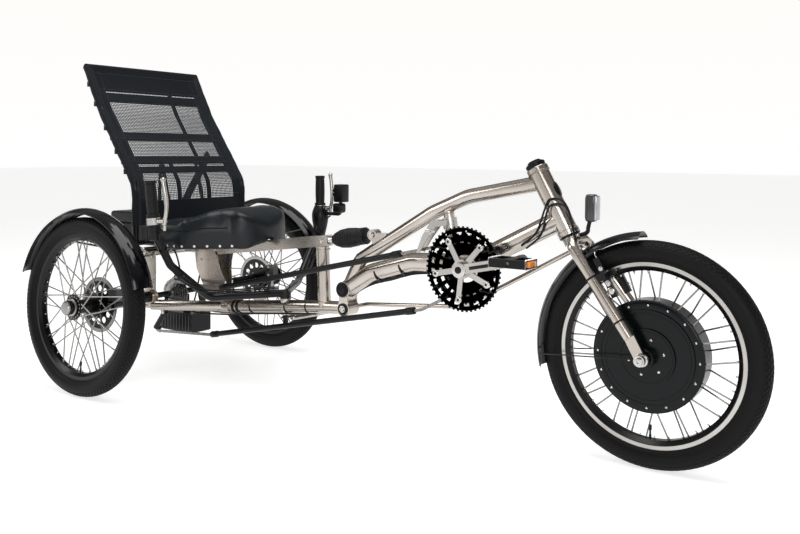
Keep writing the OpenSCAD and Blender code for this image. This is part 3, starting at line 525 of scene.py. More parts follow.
# ---- Rims, spokes and nipples ----
# Extruded black alloy rims, the front one with a bright brake track machined on each
# side. Stainless steel spokes, 36 to a wheel, on bright nipples; each rim has a valve.
satin_alloy = surface("satin_alloy", (0.52, 0.505, 0.485), 0.26, 1.0, grain=900, dent=0.08,
                      tint=(0.40, 0.385, 0.365))
black_alloy = surface("black_alloy", (0.003, 0.003, 0.0035), 0.25, 0.0, grain=900, dent=0.08,
                      tint=(0.002, 0.002, 0.0025), glint=0.25)
dress(black_alloy, "front_rim", "right_rear_rim", "left_rear_rim")
spoke_steel = surface("spoke_steel", (0.34, 0.335, 0.33), 0.26, 1.0, grain=900, dent=0.05,
                      tint=(0.24, 0.235, 0.23))
rod_tree, entry = start_tree("spoke_rods", {"Lines": "Object", "Radius": "Float"})
rods = wire(rod_tree, "GeometryNodeObjectInfo", {"Object": entry["Lines"]})
rods = wire(rod_tree, "GeometryNodeMeshToCurve", {"Mesh": rods.outputs["Geometry"]})
section = wire(rod_tree, "GeometryNodeCurvePrimitiveCircle", {"Resolution": 7,
                                                              "Radius": entry["Radius"]})
rods = wire(rod_tree, "GeometryNodeCurveToMesh", {
    "Curve": rods.outputs[0], "Profile Curve": section.outputs[0], "Fill Caps": True})
end_tree(rod_tree, entry, rods.outputs[0])
spoke_tip, spoke_pairs = 187.5, 18
for body, (centre, _, name) in wheels.items():
    place = wheel_place(body)
    parts = [stud_ring(satin_alloy, place, 36, 188.6, 0, 180, (4.2, 4.2, 7), 8, 0.7, 3)]
    fit(name + "_nipples", parts, body, bright_steel)
    axle = place.to_3x3() @ Vector((0, 0, 1))
    valve = lathe(name + "_valve", [(0, 0), (2.2, 0), (3, 3), (3, 8), (2.3, 9), (2.3, 18),
                                    (3.4, 19), (3.4, 30), (0, 30)],
                  place @ Vector((0, -0.1878, 0)), place.to_3x3() @ Vector((0, 1, 0)), 16)
    ride(put(name + "_valve", valve), body, black_plastic)
    if name == "front":
        inner, cross, rod, layers = 125.4, radians(3), 0.0020, ((21, 0), (-21, 10))
    else:
        inner, cross, rod, layers = 36.6, radians(46), 0.0019, ((32, 0), (-30, 10))
    ends = []
    for z, phase in layers:
        for i in range(spoke_pairs):
            a = radians(phase + 360 / spoke_pairs * i)
            b = a + (cross if i % 2 == 0 else -cross)
            ends += [place @ (Vector((inner * cos(a), inner * sin(a), z)) / 1000),
                     place @ (Vector((spoke_tip * cos(b), spoke_tip * sin(b), z * 0.12)) / 1000)]
    lines = bpy.data.meshes.new("spoke_lines")
    lines.from_pydata(ends, [(i, i + 1) for i in range(0, len(ends), 2)], [])
    guide = put("spoke_lines", lines)
    made = put(name + "_spoke_rods", grow(rod_tree, spoke_steel, Lines=guide, Radius=rod))
    bpy.data.objects.remove(guide)
    ride(made, body, spoke_steel)
    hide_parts(name + "_spokes")
    if name == "front":
        tracks = [lathe("track", [(198.6, 15.4), (198.8, 16.3), (208.6, 16.3), (209, 15.4),
                                  (198.6, 15.4)], centre, axle * way, 120) for way in (1, -1)]
        fit("front_brake_tracks", tracks, body, satin_alloy)

# ---- Hub motor ----
# A cast drum in satin black between two stepped covers, each held by a ring of small
# socket screws, with fine turned rings on its faces.
motor_paint = surface("motor_paint", (0.002, 0.0035, 0.004), 0.24, 0.0, grain=1000, dent=0.08,
                      tint=(0.001, 0.002, 0.0025), glint=0.2)
dress(motor_paint, "hub_motor")
place = wheel_place("front_wheel")
covers, screws = [], []
for way in (1, -1):
    flip = place if way > 0 else place @ Matrix.Rotation(pi, 4, "X")
    screws += [stud_ring(bright_steel, flip, 16, 113.5, 27.2, 90, (5.5, 5.5, 2), 12, 0.9),
               stud_ring(bright_steel, flip, 6, 40, 35, 90, (6.5, 6.5, 2.2), 12, 0.9, 15)]
    up_axis = flip.to_3x3() @ Vector((0, 0, 1))
    centre = flip @ Vector((0, 0, 0))
    covers.append(lathe("cover", [(106, 25.5), (106, 27.5), (112, 27.9), (119, 27.2), (122, 25.5)],
                        centre, up_axis, 96))
    for radius, rise in ((96, 30), (57, 35)):
        covers.append(lathe("ridge", [(radius - 1.6, rise - 0.5), (radius - 1, rise + 0.9),
                                      (radius + 1, rise + 0.9), (radius + 1.6, rise - 0.5)],
                            centre, up_axis, 96))
fit("motor_covers", covers, "front_wheel", motor_paint)
fit("motor_screws", screws, "front_wheel", bright_steel)

# ---- Rear hubs and brake rotors ----
# Black forged hubs with drilled flanges and bright end rings; the drilled steel brake
# rotor is held inboard by six screws.
rotor_steel = surface("rotor_steel", (0.36, 0.355, 0.35), 0.28, 1.0, grain=1200, dent=0.10,
                      tint=(0.25, 0.245, 0.24))
for body in ("right_rear_wheel", "left_rear_wheel"):
    name = wheels[body][2]
    place = wheel_place(body)
    out = place.to_3x3() @ Vector((0, 0, 1))
    dress(black_alloy, name + "_hub")
    bright = [stud_ring(bright_steel, place, 18, 30.5, 34, 90, (4.6, 4.6, 1.3), 12, 0.8),
              lathe("ring", [(14.5, 54), (19, 54.5), (19, 58), (16, 61.5), (8, 62.5), (0, 62.5)],
                    place @ Vector(), out),
              lathe("ring", [(20.1, 36), (24.5, 36.5), (24.5, 40), (20.1, 42)], place @ Vector(),
                    out),
              lathe("rotor", [(69.4, -52.9), (79.6, -52.9), (79.6, -55.1), (69.4, -55.1),
                              (69.4, -52.9)], place @ Vector(), out, 96),
              stud_ring(bright_steel, place @ Matrix.Rotation(pi, 4, "X"), 6, 22, 60, 90,
                        (6, 6, 2), 6, 0.9)]
    fit(name + "_hub_rings", bright, body, rotor_steel)

# ---- Rear axle, bearing plates and brake calipers ----
# The plates that carry the axle are welded to the frame; bearings, axle ends and
# calipers bolt on. All in black or grey anodised alloy with steel screws.
grey_alloy = surface("grey_alloy", (0.10, 0.10, 0.105), 0.34, 1.0, grain=900, dent=0.15,
                     tint=(0.07, 0.07, 0.072))
dress(black_alloy, "rear_axle")
dress(grey_alloy, "rear_brakes")
plate_bolts = []
for side in (-1, 1):
    for x, z in ((-15, 378), (15, 378), (-15, 300), (15, 300), (-15, 222), (15, 222)):
        plate_bolts.append(bolt(bright_steel, at(x, side * 145, z), (0, side, 0), 9, 4))
    for x, z in ((138, 262), (160, 262), (118, 360), (90, 360)):
        plate_bolts.append(bolt(bright_steel, at(x, side * 17, z), (0, side, 0), 8, 3.5))
    plate_bolts.append(bolt(bright_steel, at(574, side * 13.2, 448), (0, side, 0), 10, 4))
    plate_bolts.append(bolt(bright_steel, at(150, side * 13.2, 395), (0, side, 0), 10, 4))
    plate_bolts.append(lathe("plug", [(0, 0), (14.4, 0), (14.4, 1.6), (12, 3), (0, 3)],
                             at(0, side * 170, 390), (0, side, 0)))
fit("frame_bolts", plate_bolts, "frame", bright_steel)
calliper_bolts = []
for side in (-1, 1):
    place = wheel_place("right_rear_wheel" if side < 0 else "left_rear_wheel")
    for y in (22, 48):
        calliper_bolts.append(bolt(bright_steel, place @ Vector((0.070, -side * y / 1000, -0.0685)),
                                   place.to_3x3() @ Vector((0, 0, -1)), 7, 3))
fit("calliper_bolts", calliper_bolts, "frame", bright_steel)

# ---- Fenders ----
# Moulded glossy black plastic strips with rolled edges, on thin black wire stays that
# are screwed through small pads.
gloss_black = surface("gloss_black", (0.002, 0.002, 0.003), 0.12, 0.0, grain=300, dent=0.01,
                      tint=(0.001, 0.001, 0.002), glint=0.32)
dress(gloss_black, "rear_fenders", "front_fender")


front_fender_skin, rear_fender_skin, fender_half = 259.9, 267.2, 31.6


def fender_rim(place, radius, first, last):
    """The rolled edge down each side of a fender, from one angle to the other."""
    rolls = []
    for z in (-fender_half, fender_half):
        points = [place @ Vector((radius / 1000 * cos(a), radius / 1000 * sin(a), z / 1000))
                  for a in (radians(first + (last - first) * i / 60) for i in range(61))]
        rolls.append(sweep("roll", points, 0.0016, False, 6))
    return rolls


front_rolls = fender_rim(wheel_place("front_wheel"), front_fender_skin, 95.5, 192.5)
fit("front_fender_edge", front_rolls, "fork", gloss_black)
rear_rolls = []
for body, way in (("right_rear_wheel", 1), ("left_rear_wheel", -1)):
    rear_rolls += fender_rim(wheel_place(body), rear_fender_skin, way * 16.5, way * 162.5)
fit("rear_fender_edges", rear_rolls, "frame", gloss_black)

# ---- Head tube, fork and headlight ----
# Headset cups with bright seals, a plain oval badge, fork crown and axle hardware in
# steel, and a ribbed lamp on a black arm.
dress(black_plastic, "steerer_caps")
for name, seal_height, lines in (("headset_seals", 318.9, (331, 334.5)),
                                 ("headset_rings", 495.0, (484, 480.5))):
    bits = [lathe("seal", [(20, -0.6), (26.6, -0.6), (27.2, 0), (26.6, 0.9), (20, 0.9)],
                  on_head(seal_height), head_way)]
    for h in lines:
        bits.append(sweep("line", circle(on_head(h), head_way, 0.0252, 64), 0.0005, False, 4, True))
    fit(name, bits, "frame", bright_steel)
fit("steerer_cap_steps", [
    lathe("cap", [(0, 500), (24.6, 504), (24.6, 506.5), (21, 509.5), (17, 510.8), (17, 512.5),
                  (15, 514.5), (0, 514.5)], on_head(0), head_way),
    lathe("boot", [(22, 313), (24, 314), (25.5, 318), (22, 318.4)], on_head(0), head_way)],
    "fork", black_plastic)
front_side = Vector((head_way.z, 0, -head_way.x))
badge = lathe("badge", [(0, 0), (14, 0), (14, 1.0), (11, 2.2), (0, 2.6)], (0, 0, 0), (0, 0, 1))
badge.transform(Matrix.Diagonal((1.35, 0.85, 1, 1)))
badge.transform(Matrix.Translation(on_head(428) + front_side * 0.0248) @ Matrix(
    [(head_way[i], (0, 1, 0)[i], front_side[i]) for i in range(3)]).to_4x4())
ride(put("head_badge", badge), "frame", gloss_black)


def on_fork(x, y, h):
    """A point x mm ahead of the steering axis, y left, h up it from the axle's foot."""
    return on_head(h) + front_side * (x / 1000) + Vector((0, y / 1000, 0))


fork_bits = []
for side in (-1, 1):
    across = Vector((0, side, 0))
    fork_bits += [bolt(bright_steel, on_fork(49, side * 82, 0), across, 17, 7),
                  bolt(bright_steel, on_fork(44, side * 66, 60), across, 8, 4),
                  lathe("cone", [(12.4, 0), (14.5, 1), (14.5, 4), (12.4, 5)],
                        on_fork(49, side * 66, 0), across)]
fork_bits += [bolt(bright_steel, on_fork(-15, 52, 301.5), head_way, 9, 5),
              bolt(bright_steel, on_fork(-15, 52, 281), -head_way, 9, 3),
              bolt(bright_steel, on_fork(21.6, -9, 307), front_side, 8, 4),
              bolt(bright_steel, on_fork(21.6, 9, 307), front_side, 8, 4)]
fit("fork_hardware", fork_bits, "fork", bright_steel)
dress(black_alloy, "front_brake")
brake_bits = []
for side in (-1, 1):
    across = Vector((0, side, 0))
    brake_bits += [bolt(bright_steel, on_fork(51, side * 48, 178), across, 9, 4),
                   bolt(bright_steel, on_fork(51, side * 48, 214), across, 7, 3),
                   lathe("spring", [(6.5, 0), (8, 1), (8, 6), (6.5, 7)],
                         on_fork(51, side * 48, 160), across)]
brake_bits.append(sweep("noodle", [on_fork(51, y, h) for y, h in (
    (-42, 236), (-38, 252), (-12, 258), (16, 253), (42, 238))], 0.0016))
fit("front_brake_hardware", brake_bits, "fork", bright_steel)


def rounded_box(name, low, high, soft, steps, place=None):
    """A box between two corners in mm with rounded edges, turned by place where given."""
    made = bmesh.new()
    bmesh.ops.create_cube(made, size=1)
    middle = [(a + b) / 2 for a, b in zip(low, high)]
    for v in made.verts:
        side = v.co.copy()
        v.co = Vector([m + s * (b - a) for m, s, a, b in zip(middle, side, low, high)])
    bmesh.ops.bevel(made, geom=made.edges[:] + made.verts[:], offset=soft, segments=steps,
                    profile=0.5, affect="EDGES")
    mesh = bpy.data.meshes.new(name)
    made.to_mesh(mesh)
    made.free()
    mesh.transform((place or Matrix.Translation((axle_x, 0, 0))) @ Matrix.Scale(0.001, 4))
    for face in mesh.polygons:
        face.use_smooth = True
    mesh.set_sharp_from_angle(angle=radians(40))
    return mesh


lamp_shell = surface("lamp_shell", (0.07, 0.07, 0.073), 0.22, 0.8, grain=700, dent=0.06,
                     tint=(0.04, 0.04, 0.042), coat=0.2)
lamp_glass = surface("lamp_glass", (0.42, 0.44, 0.46), 0.10, 0.7, grain=60, dent=0.4,
                     tint=(0.28, 0.30, 0.32), coat=0.8)
shell = rounded_box("headlight_shell", (1360, -13, 543), (1384, 13, 607), 6, 4)
ribs = [shell]
for y in (-8, -3, 3, 8):
    ribs.append(rounded_box("rib", (1359.2, y - 1.2, 550), (1362, y + 1.2, 600), 0.8, 2))
for side in (-1, 1):
    for x in (1366, 1372, 1378):
        ribs.append(rounded_box("rib", (x - 1.1, side * 13 - 1, 549),
                                (x + 1.1, side * 13 + 1, 601), 0.6, 2))
whole = fit("headlight_housing", ribs, "fork", lamp_shell)
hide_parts("headlight")
arm = sweep("headlight_arm", [on_fork(23, 0, 306.5), on_fork(44, 0, 306.5), at(1364, 0, 528),
                              at(1369, 0, 548)], 0.005)
ride(put("headlight_arm", arm), "fork", black_plastic)
glass = rounded_box("headlight_lens", (1382, -12, 546), (1389, 12, 604), 3, 3)
ride(put("headlight_lens", glass), "fork", lamp_glass)

# ---- Handlebar, grips, levers and display ----
# A bent black alloy bar under the seat, turning on a vertical stem. Its upright ends
# carry moulded rubber grips, forged bright brake levers and, on the left, the display.
black_metal = surface("black_metal", (0.003, 0.003, 0.0035), 0.28, 0.0, grain=900, dent=0.08,
                      tint=(0.002, 0.002, 0.0025), glint=0.25)
grip_rubber = surface("grip_rubber", (0.006, 0.006, 0.007), 0.5, grain=1500, dent=0.4, glint=0.2)
dress(black_metal, "handlebar", "handlebar_display")
dress(satin_alloy, "brake_levers")


def grip_line(side):
    """The foot of a hand grip, and the way up along it."""
    foot = at(270, side * 350, 478)
    return foot, (at(262, side * 358, 618) - foot).normalized()


sleeve_low, sleeve_high = 51, 134
for side in (-1, 1):
    foot, way = grip_line(side)
    hand = "right" if side < 0 else "left"
    profile = [(11.4, 42.2), (17.6, 42.4), (18.4, 44), (18.4, 49), (17.2, 51)]
    for n in range(67):
        rise = sleeve_low + 1.25 * n
        bulge = 1.1 * sin(pi * (rise - sleeve_low) / (sleeve_high - sleeve_low))
        groove = 0.8 if side < 0 and n // 2 % 2 else 0.0
        profile.append((14.6 + bulge - groove, rise))
    profile += [(15.6, 134.5), (16.2, 136), (16.2, 139.5), (15, 142), (6, 142.4), (0, 142.4)]
    grip = lathe(hand + "_grip_rubber", profile, foot, way, 40)
    made = put(hand + "_grip_rubber", grip)
    ride(made, "handlebar", grip_rubber)
    if side < 0:
        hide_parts("handlebar_grips")
        hood = [(11.2, -20), (14.5, -18), (16, -4), (16.4, 20), (18.8, 22), (18.8, 41)]
    else:
        hood = [(11.2, -70), (14, -68), (17, -54), (23, -30), (27, -8), (28, 10), (26, 24),
                (21, 36), (18.4, 42)]
    made = put(hand + "_grip_hood", lathe(hand + "_grip_hood", hood, foot, way, 40))
    ride(made, "handlebar", black_plastic)
    base = foot + way * 0.032
    parts = [bolt(bright_steel, base + Vector((0.030, side * -0.0075, 0.001)), (0, -side, 0), 7, 3),
             lathe("ball", [(7.6 * sin(pi * i / 14), -7.6 * cos(pi * i / 14)) for i in range(15)],
                   base + Vector((0.042, side * 0.003, 0.113)), (0, 0, 1), 24),
             lathe("barrel", [(0, -17), (4, -17), (4.6, -15), (4.6, -2), (3.2, 0), (0, 0)],
                   base + Vector((0.045, 0, -0.006)), (0, 0, 1), 20),
             sweep("blade", [base + Vector((x, side * y, z)) / 1000 for x, y, z in (
                 (41, 0, -6), (50, 0, 22), (51.5, 0, 52), (47, 2, 86), (42, 3, 110))], 0.0058)]
    for n in range(3):
        seat = foot + way * (0.002 + 0.011 * n) + Vector((0.0205, side * -0.010, 0))
        parts.append(bolt(bright_steel, seat, (0.8, -side * 0.6, 0), 4.6, 2))
    fit(hand + "_lever_parts", parts, "handlebar", satin_alloy)
    cables = []
    for n, y in enumerate((0.002, -0.002)):
        route = [base + Vector((0.045, y, -0.022)), at(292, side * 352, 470),
                 at(289 + 5 * n, side * 341, 440), at(290 + 5 * n, side * 302, 368 + 4 * n),
                 at(316 + 5 * n, side * 232, 311 + 6 * n), at(352, side * 150, 301 + 5 * n),
                 at(400, side * 62, 301 + 5 * n), at(424, side * 24, 300 + 5 * n)]
        cables.append(sweep("cable", route, 0.0022, True, 8))
    for x, y, z, lie in ((282, 327, 430, (0.12, 0.45, 0.88)), (293, 285, 355, (0.12, 0.45, 0.88)),
                         (346, 129, 286, (0.5, 0.85, 0))):
        cables.append(lathe("tie", [(13.6, -2), (14.8, -2), (14.8, 2), (13.6, 2), (13.6, -2)],
                            at(x, side * y, z), (lie[0], side * lie[1], lie[2]), 24))
    fit(hand + "_bar_cables", cables, "handlebar", black_plastic)
dark_glass = surface("dark_glass", (0.004, 0.005, 0.006), 0.06, 0.0, grain=100, dent=0.0,
                     tint=(0.004, 0.004, 0.005), coat=1.0)
foot, way = grip_line(1)
corner = (foot + way * 0.0165 - at(0, 0, 0)) * 1000
fit("display_case", [
    rounded_box("case", corner + Vector((72, -19, 40)), corner + Vector((109, 19, 99)), 4, 3),
    rounded_box("pod", corner + Vector((64, -17, 4)), corner + Vector((100, 17, 36)), 8, 4),
    rounded_box("key", corner + Vector((70, -20.5, 60)), corner + Vector((78, -17, 70)), 1, 2),
    rounded_box("key", corner + Vector((70, -20.5, 74)), corner + Vector((78, -17, 84)), 1, 2)],
    "handlebar", black_plastic)
window = rounded_box("display_window", corner + Vector((69.5, -15, 46)),
                     corner + Vector((73, 15, 93)), 1.2, 2)
ride(put("display_window", window), "handlebar", dark_glass)

# ---- Seat frame and net back ----
# Black powder-coated tubes. The back is an open net panel, hemmed with heavy cloth that
# wraps the side and top tubes, with sewn cross straps.
dress(black_metal, "seat_frame")
seat_cloth = surface("seat_cloth", (0.003, 0.005, 0.008), 0.62, grain=1600, dent=0.5,
                     tint=(0.002, 0.0035, 0.006), sheen=0.04, glint=0.14)
net_cord = surface("net_cord", (0.030, 0.034, 0.040), 0.60, grain=1200, dent=0.3,
                   tint=(0.022, 0.025, 0.030), glint=0.2)
back_line = [(30, 470), (30, 560), (28, 580), (22, 606), (8, 628), (-118, 806), (-130, 824),
             (-160, 880), (-204, 962)]
reach = [0.0]
for (x0, z0), (x1, z1) in zip(back_line, back_line[1:]):
    reach.append(reach[-1] + hypot(x1 - x0, z1 - z0))


def on_back(s, y, out=0.0):
    """A point s mm up the back from its foot, y mm left, out mm ahead of the net."""
    s = min(max(s, 0), reach[-1])
    for i in range(len(back_line) - 1):
        if s <= reach[i + 1]:
            break
    (x0, z0), (x1, z1) = back_line[i], back_line[i + 1]
    t = (s - reach[i]) / (reach[i + 1] - reach[i])
    run, rise = (x1 - x0) / (reach[i + 1] - reach[i]), (z1 - z0) / (reach[i + 1] - reach[i])
    return at(x0 + (x1 - x0) * t + rise * out, y, z0 + (z1 - z0) * t - run * out)


def at_height(z):
    """How far up the back a height is."""
    for i in range(len(back_line) - 1):
        z0, z1 = back_line[i][1], back_line[i + 1][1]
        if z <= z1:
            return reach[i] + (reach[i + 1] - reach[i]) * (z - z0) / (z1 - z0)
    return reach[-1]


def loft(name, rows):
    """A closed skin through rings of points, all of one length."""
    skin = bmesh.new()
    loops = [[skin.verts.new(p) for p in row] for row in rows]
    count = len(rows[0])
    for low, high in zip(loops, loops[1:]):
        for i in range(count):
            k = (i + 1) % count
            skin.faces.new((low[i], low[k], high[k], high[i]))
    skin.faces.new(loops[0][::-1])
    skin.faces.new(loops[-1])
    bmesh.ops.recalc_face_normals(skin, faces=skin.faces)
    mesh = bpy.data.meshes.new(name)
    skin.to_mesh(mesh)
    skin.free()
    for face in mesh.polygons:
        face.use_smooth = True
    mesh.set_sharp_from_angle(angle=radians(60))
    return mesh


net_half = 206
foot_s, top_s = at_height(520), reach[-1] - 12
net = bmesh.new()
columns, lines = 70, 88
knots = [[net.verts.new(on_back(foot_s + (top_s - foot_s) * r / lines,
                                net_half * (2 * c / columns - 1)))
          for c in range(columns + 1)] for r in range(lines + 1)]
for r in range(lines):
    for c in range(columns):
        net.faces.new((knots[r][c], knots[r][c + 1], knots[r + 1][c + 1], knots[r + 1][c]))
net_mesh = bpy.data.meshes.new("seat_net_panel")
net.to_mesh(net_mesh)
net.free()
net_panel = put("seat_net_panel", net_mesh)
cords = net_panel.modifiers.new("cords", "WIREFRAME")
cords.thickness = 0.0034
cords.use_even_offset = False
cords.use_boundary = True


def settle(made):
    """Applies a piece's modifiers for good."""
    mesh = applied(made)
    made.modifiers.clear()
    made.data = mesh


settle(net_panel)
net_panel.data.name = "seat_net_panel"
ride(net_panel, "frame", net_cord)
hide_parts("seat_mesh")


def strap(name, s0, s1, y0, y1, thick, rows=10):
    """A sewn band on the back between two heights and two sides, rounded at its edges."""
    edge, shoulder, crown = 0.5, 0.9, 1.3
    across = [(y0, -edge), (y0, edge), (y0 + 2, shoulder), ((y0 + y1) / 2, crown),
              (y1 - 2, shoulder), (y1, edge), (y1, -edge), (y1 - 2, -shoulder),
              ((y0 + y1) / 2, -crown), (y0 + 2, -shoulder)]
    sections = []
    for r in range(rows + 1):
        s = s0 + (s1 - s0) * r / rows
        sections.append([on_back(s, y, out * thick / (edge + crown)) for y, out in across])
    return loft(name, sections)


tube_y, sleeve_r, sleeve_foot = 221, 11.2, at_height(476)
cloth = []
for side in (-1, 1):
    sections = []
    for n in range(61):
        s = sleeve_foot + (reach[-1] - sleeve_foot) * n / 60
        loose = sleeve_r + 0.4 * sin(s / 17 + side) + 0.3 * sin(s / 7.3)
        ring = [on_back(s, side * (tube_y - cos(a) * loose), sin(a) * loose)
                for a in (radians(40 + 20 * i) for i in range(15))]
        wide = 180 + 2.0 * sin(s / 60)
        ring += [on_back(s, side * 200, -2.2), on_back(s, side * wide, -1.8),
                 on_back(s, side * (wide - 1), 0), on_back(s, side * wide, 1.8),
                 on_back(s, side * 200, 2.2)]
        sections.append(ring)
    cloth.append(loft("sleeve", sections))
rows_across = []
for n in range(49):
    y = -226 + 452 * n / 48
    top = on_back(reach[-1], y)
    ahead, upward = on_back(reach[-1], y, 1) - top, top - on_back(reach[-1] - 1, y)
    ring = [on_back(reach[-1] - 0.001, y) + ahead * sin(a) * 10.6 + upward * cos(a) * 9.4
            for a in (radians(130 - 260 * i / 12) for i in range(13))]
    hem = reach[-1] - 84 + 1.2 * sin(y / 40)
    ring += [on_back(reach[-1] - 16, y, -3), on_back(hem, y, -2.2), on_back(hem - 1, y, 0),
             on_back(hem, y, 2.2), on_back(reach[-1] - 16, y, 3)]
    rows_across.append(ring)
cloth.append(loft("top_hem", rows_across))
cloth.append(strap("bottom_hem", at_height(486), at_height(548), -net_half, net_half, 4.4, 8))
for low, high, thick in ((858, 880, 4), (733, 757, 4.6), (661, 683, 4.6), (632, 650, 4)):
    cloth.append(strap("strap", at_height(low), at_height(high), -net_half, net_half, thick))
cloth += [strap("upright", at_height(540), reach[-1] - 80, 66, 82, 5, 40),
          strap("upright", at_height(540), at_height(660), -58, -44, 4.4, 12)]
cover = fit("seat_back_cover", cloth, "frame", seat_cloth)

# Stitch lines along the hems and straps, and the buckles of the back's tension straps.
stitch_tree, entry = start_tree("stitch_line", {
    "Start": "Vector", "End": "Vector", "Spacing": "Float", "Thread": "Float"})
span = wire(stitch_tree, "GeometryNodeCurvePrimitiveLine", {"Start": entry["Start"],
                                                            "End": entry["End"]})
spaced = wire(stitch_tree, "GeometryNodeResampleCurve", {"Curve": span.outputs[0],
                                                         "Length": entry["Spacing"]}, mode="LENGTH")
thread = wire(stitch_tree, "GeometryNodeMeshCylinder", {"Vertices": 5, "Radius": entry["Thread"],
                                                        "Depth": 0.0032})
along = wire(stitch_tree, "FunctionNodeAlignRotationToVector", {
    "Vector": wire(stitch_tree, "GeometryNodeInputTangent").outputs[0]}, axis="Z")
sewn = wire(stitch_tree, "GeometryNodeInstanceOnPoints", {
    "Points": spaced.outputs[0], "Instance": thread.outputs["Mesh"],
    "Rotation": along.outputs[0]})
end_tree(stitch_tree, entry, sewn.outputs[0])
thread_grey = surface("thread_grey", (0.035, 0.037, 0.042), 0.6, grain=900, dent=0.2)


def stitches(a, b):
    """A row of stitches between two places."""
    return grow(stitch_tree, thread_grey, Start=a, End=b, Spacing=0.0052, Thread=0.0006)


seams = []
for z, out in ((735.5, 3.2), (754.5, 3.2), (663.5, 3.2), (680.5, 3.2), (561, 3.0)):
    s = at_height(z)
    seams.append(stitches(on_back(s, -204, out), on_back(s, 204, out)))
for s, out in ((reach[-1] - 80, 2.6), (reach[-1] - 22, 3.6)):
    seams.append(stitches(on_back(s, -net_half, out), on_back(s, net_half, out)))
for side in (-1, 1):
    for y in (184, net_half):
        for s0, s1 in ((at_height(640), at_height(800)), (at_height(830), reach[-1] - 20)):
            seams.append(stitches(on_back(s0, side * y, 2.9), on_back(s1, side * y, 2.9)))
fit("seat_stitching", seams, "frame", thread_grey)
buckles = []
for side in (-1, 1):
    for z in (640, 700, 772, 846, 908):
        p = (on_back(at_height(z), side * 231, -4) - at(0, 0, 0)) * 1000
        buckles.append(rounded_box("buckle", p - Vector((7, 3, 8)), p + Vector((5, 3, 8)), 1.6, 2))
fit("seat_buckles", buckles, "frame", black_plastic)
rear_straps = []
for y0, z0, y1, z1, wide in ((150, 700, -40, 505, 14), (-170, 640, -170, 500, 8),
                             (-60, 690, -120, 520, 6)):
    p, q = on_back(at_height(z0), y0, -14), on_back(at_height(z1), y1, -16)
    along_way = (q - p).normalized()
    side_way = along_way.cross(Vector((1, 0, 0))).normalized() * wide / 1000
    face_way = along_way.cross(side_way).normalized() * 0.0012
    rear_straps.append(loft("web", [[e + side_way + face_way, e - side_way + face_way,
                                     e - side_way - face_way, e + side_way - face_way]
                                    for e in [p.lerp(q, t / 8) for t in range(9)]]))
fit("back_tension_straps", rear_straps, "frame", seat_cloth)

# ---- Seat cushion ----
# A foam cushion under a tight black cover, low behind and raised in a roll at the
# front, with a piped seam round its top edge and small studs along its lower edge.
cover_cloth = surface("cover_cloth", (0.003, 0.006, 0.009), 0.34, grain=1700, dent=0.25,
                      tint=(0.002, 0.004, 0.006), sheen=0.03, glint=0.28)
pad_mesh = frame["nodes"]["seat_cushion"].data.copy()
pad_mesh.name = "seat_cushion_cover"
merged = bmesh.new()
merged.from_mesh(pad_mesh)
bmesh.ops.remove_doubles(merged, verts=merged.verts, dist=0.00005)
bmesh.ops.recalc_face_normals(merged, faces=merged.faces)
merged.to_mesh(pad_mesh)
merged.free()
pad = put("seat_cushion_cover", pad_mesh)
voxels = pad.modifiers.new("voxels", "REMESH")
voxels.mode = "VOXEL"
voxels.voxel_size = 0.0055
soften = pad.modifiers.new("soften", "SMOOTH")
soften.factor = 0.6
soften.iterations = 7
settle(pad)
start_shape = [v.co.copy() for v in pad.data.vertices]
held = pad.vertex_groups.new(name="held")
for v in pad.data.vertices:
    x, y = (v.co.x - axle_x) * 1000, abs(v.co.y) * 1000
    inside = v.co.z < 0.4405 and y < 202 and x < 360
    held.add([v.index], 1.0 if inside or v.co.z < 0.416 else 0.0, "REPLACE")
most_swell, puff_frames = 0.007, 20
swell = pad.modifiers.new("foam", "CLOTH")
swell.settings.use_pressure = True
swell.settings.uniform_pressure_force = 4
swell.settings.effector_weights.gravity = 0
swell.settings.vertex_group_mass = "held"
swell.settings.quality = 5
swell.settings.tension_stiffness = 12
swell.settings.compression_stiffness = 12
swell.point_cache.frame_end = puff_frames
for n in range(1, puff_frames + 1):
    bpy.context.scene.frame_set(n)
settle(pad)
bpy.context.scene.frame_set(1)
for v, rest in zip(pad.data.vertices, start_shape):
    move = v.co - rest
    if move.length > most_swell:
        v.co = rest + move * (most_swell / move.length)
calm = pad.modifiers.new("calm", "SMOOTH")
calm.factor = 0.6
calm.iterations = 26
settle(pad)
for v in pad.data.vertices:
    x, y = (v.co.x - axle_x) * 1000, v.co.y * 1000
    if v.co.z > 0.47:
        cross_seam = 2.2 * smooth_step(1 - abs(x - 214) / 12)
        long_seam = 1.6 * smooth_step(1 - abs(abs(y) - 96) / 9) * (1 - smooth_step((x - 205) / 14))
        v.co.z -= (cross_seam + long_seam) / 1000
pad.vertex_groups.clear()
finer = pad.modifiers.new("finer", "SUBSURF")
finer.levels = finer.render_levels = 1
for face in pad.data.polygons:
    face.use_smooth = True
ride(pad, "frame", cover_cloth)
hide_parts("seat_cushion")
skin = BVHTree.FromObject(pad, bpy.context.evaluated_depsgraph_get())
studs, piping = [], []
for side in (-1, 1):
    for n in range(9):
        hit = skin.ray_cast(at(110 + n * 26, side * 260, 425), Vector((0, -side, 0)))
        if hit[0]:
            studs.append(bolt(bright_steel, hit[0], hit[1], 5, 1.6))
    edge = []
    for n in range(25):
        hit = skin.ray_cast(at(94 + n * 9, side * 260, 470 + 8 * smooth_step((n - 12) / 8)),
                            Vector((0, -side, 0)))
        if hit[0]:
            edge.append(hit[0] + hit[1] * 0.0006)
    piping.append(sweep("piping", edge, 0.0022, True, 8))
fit("cushion_studs", studs, "frame", bright_steel)
fit("cushion_piping", piping, "frame", seat_cloth)

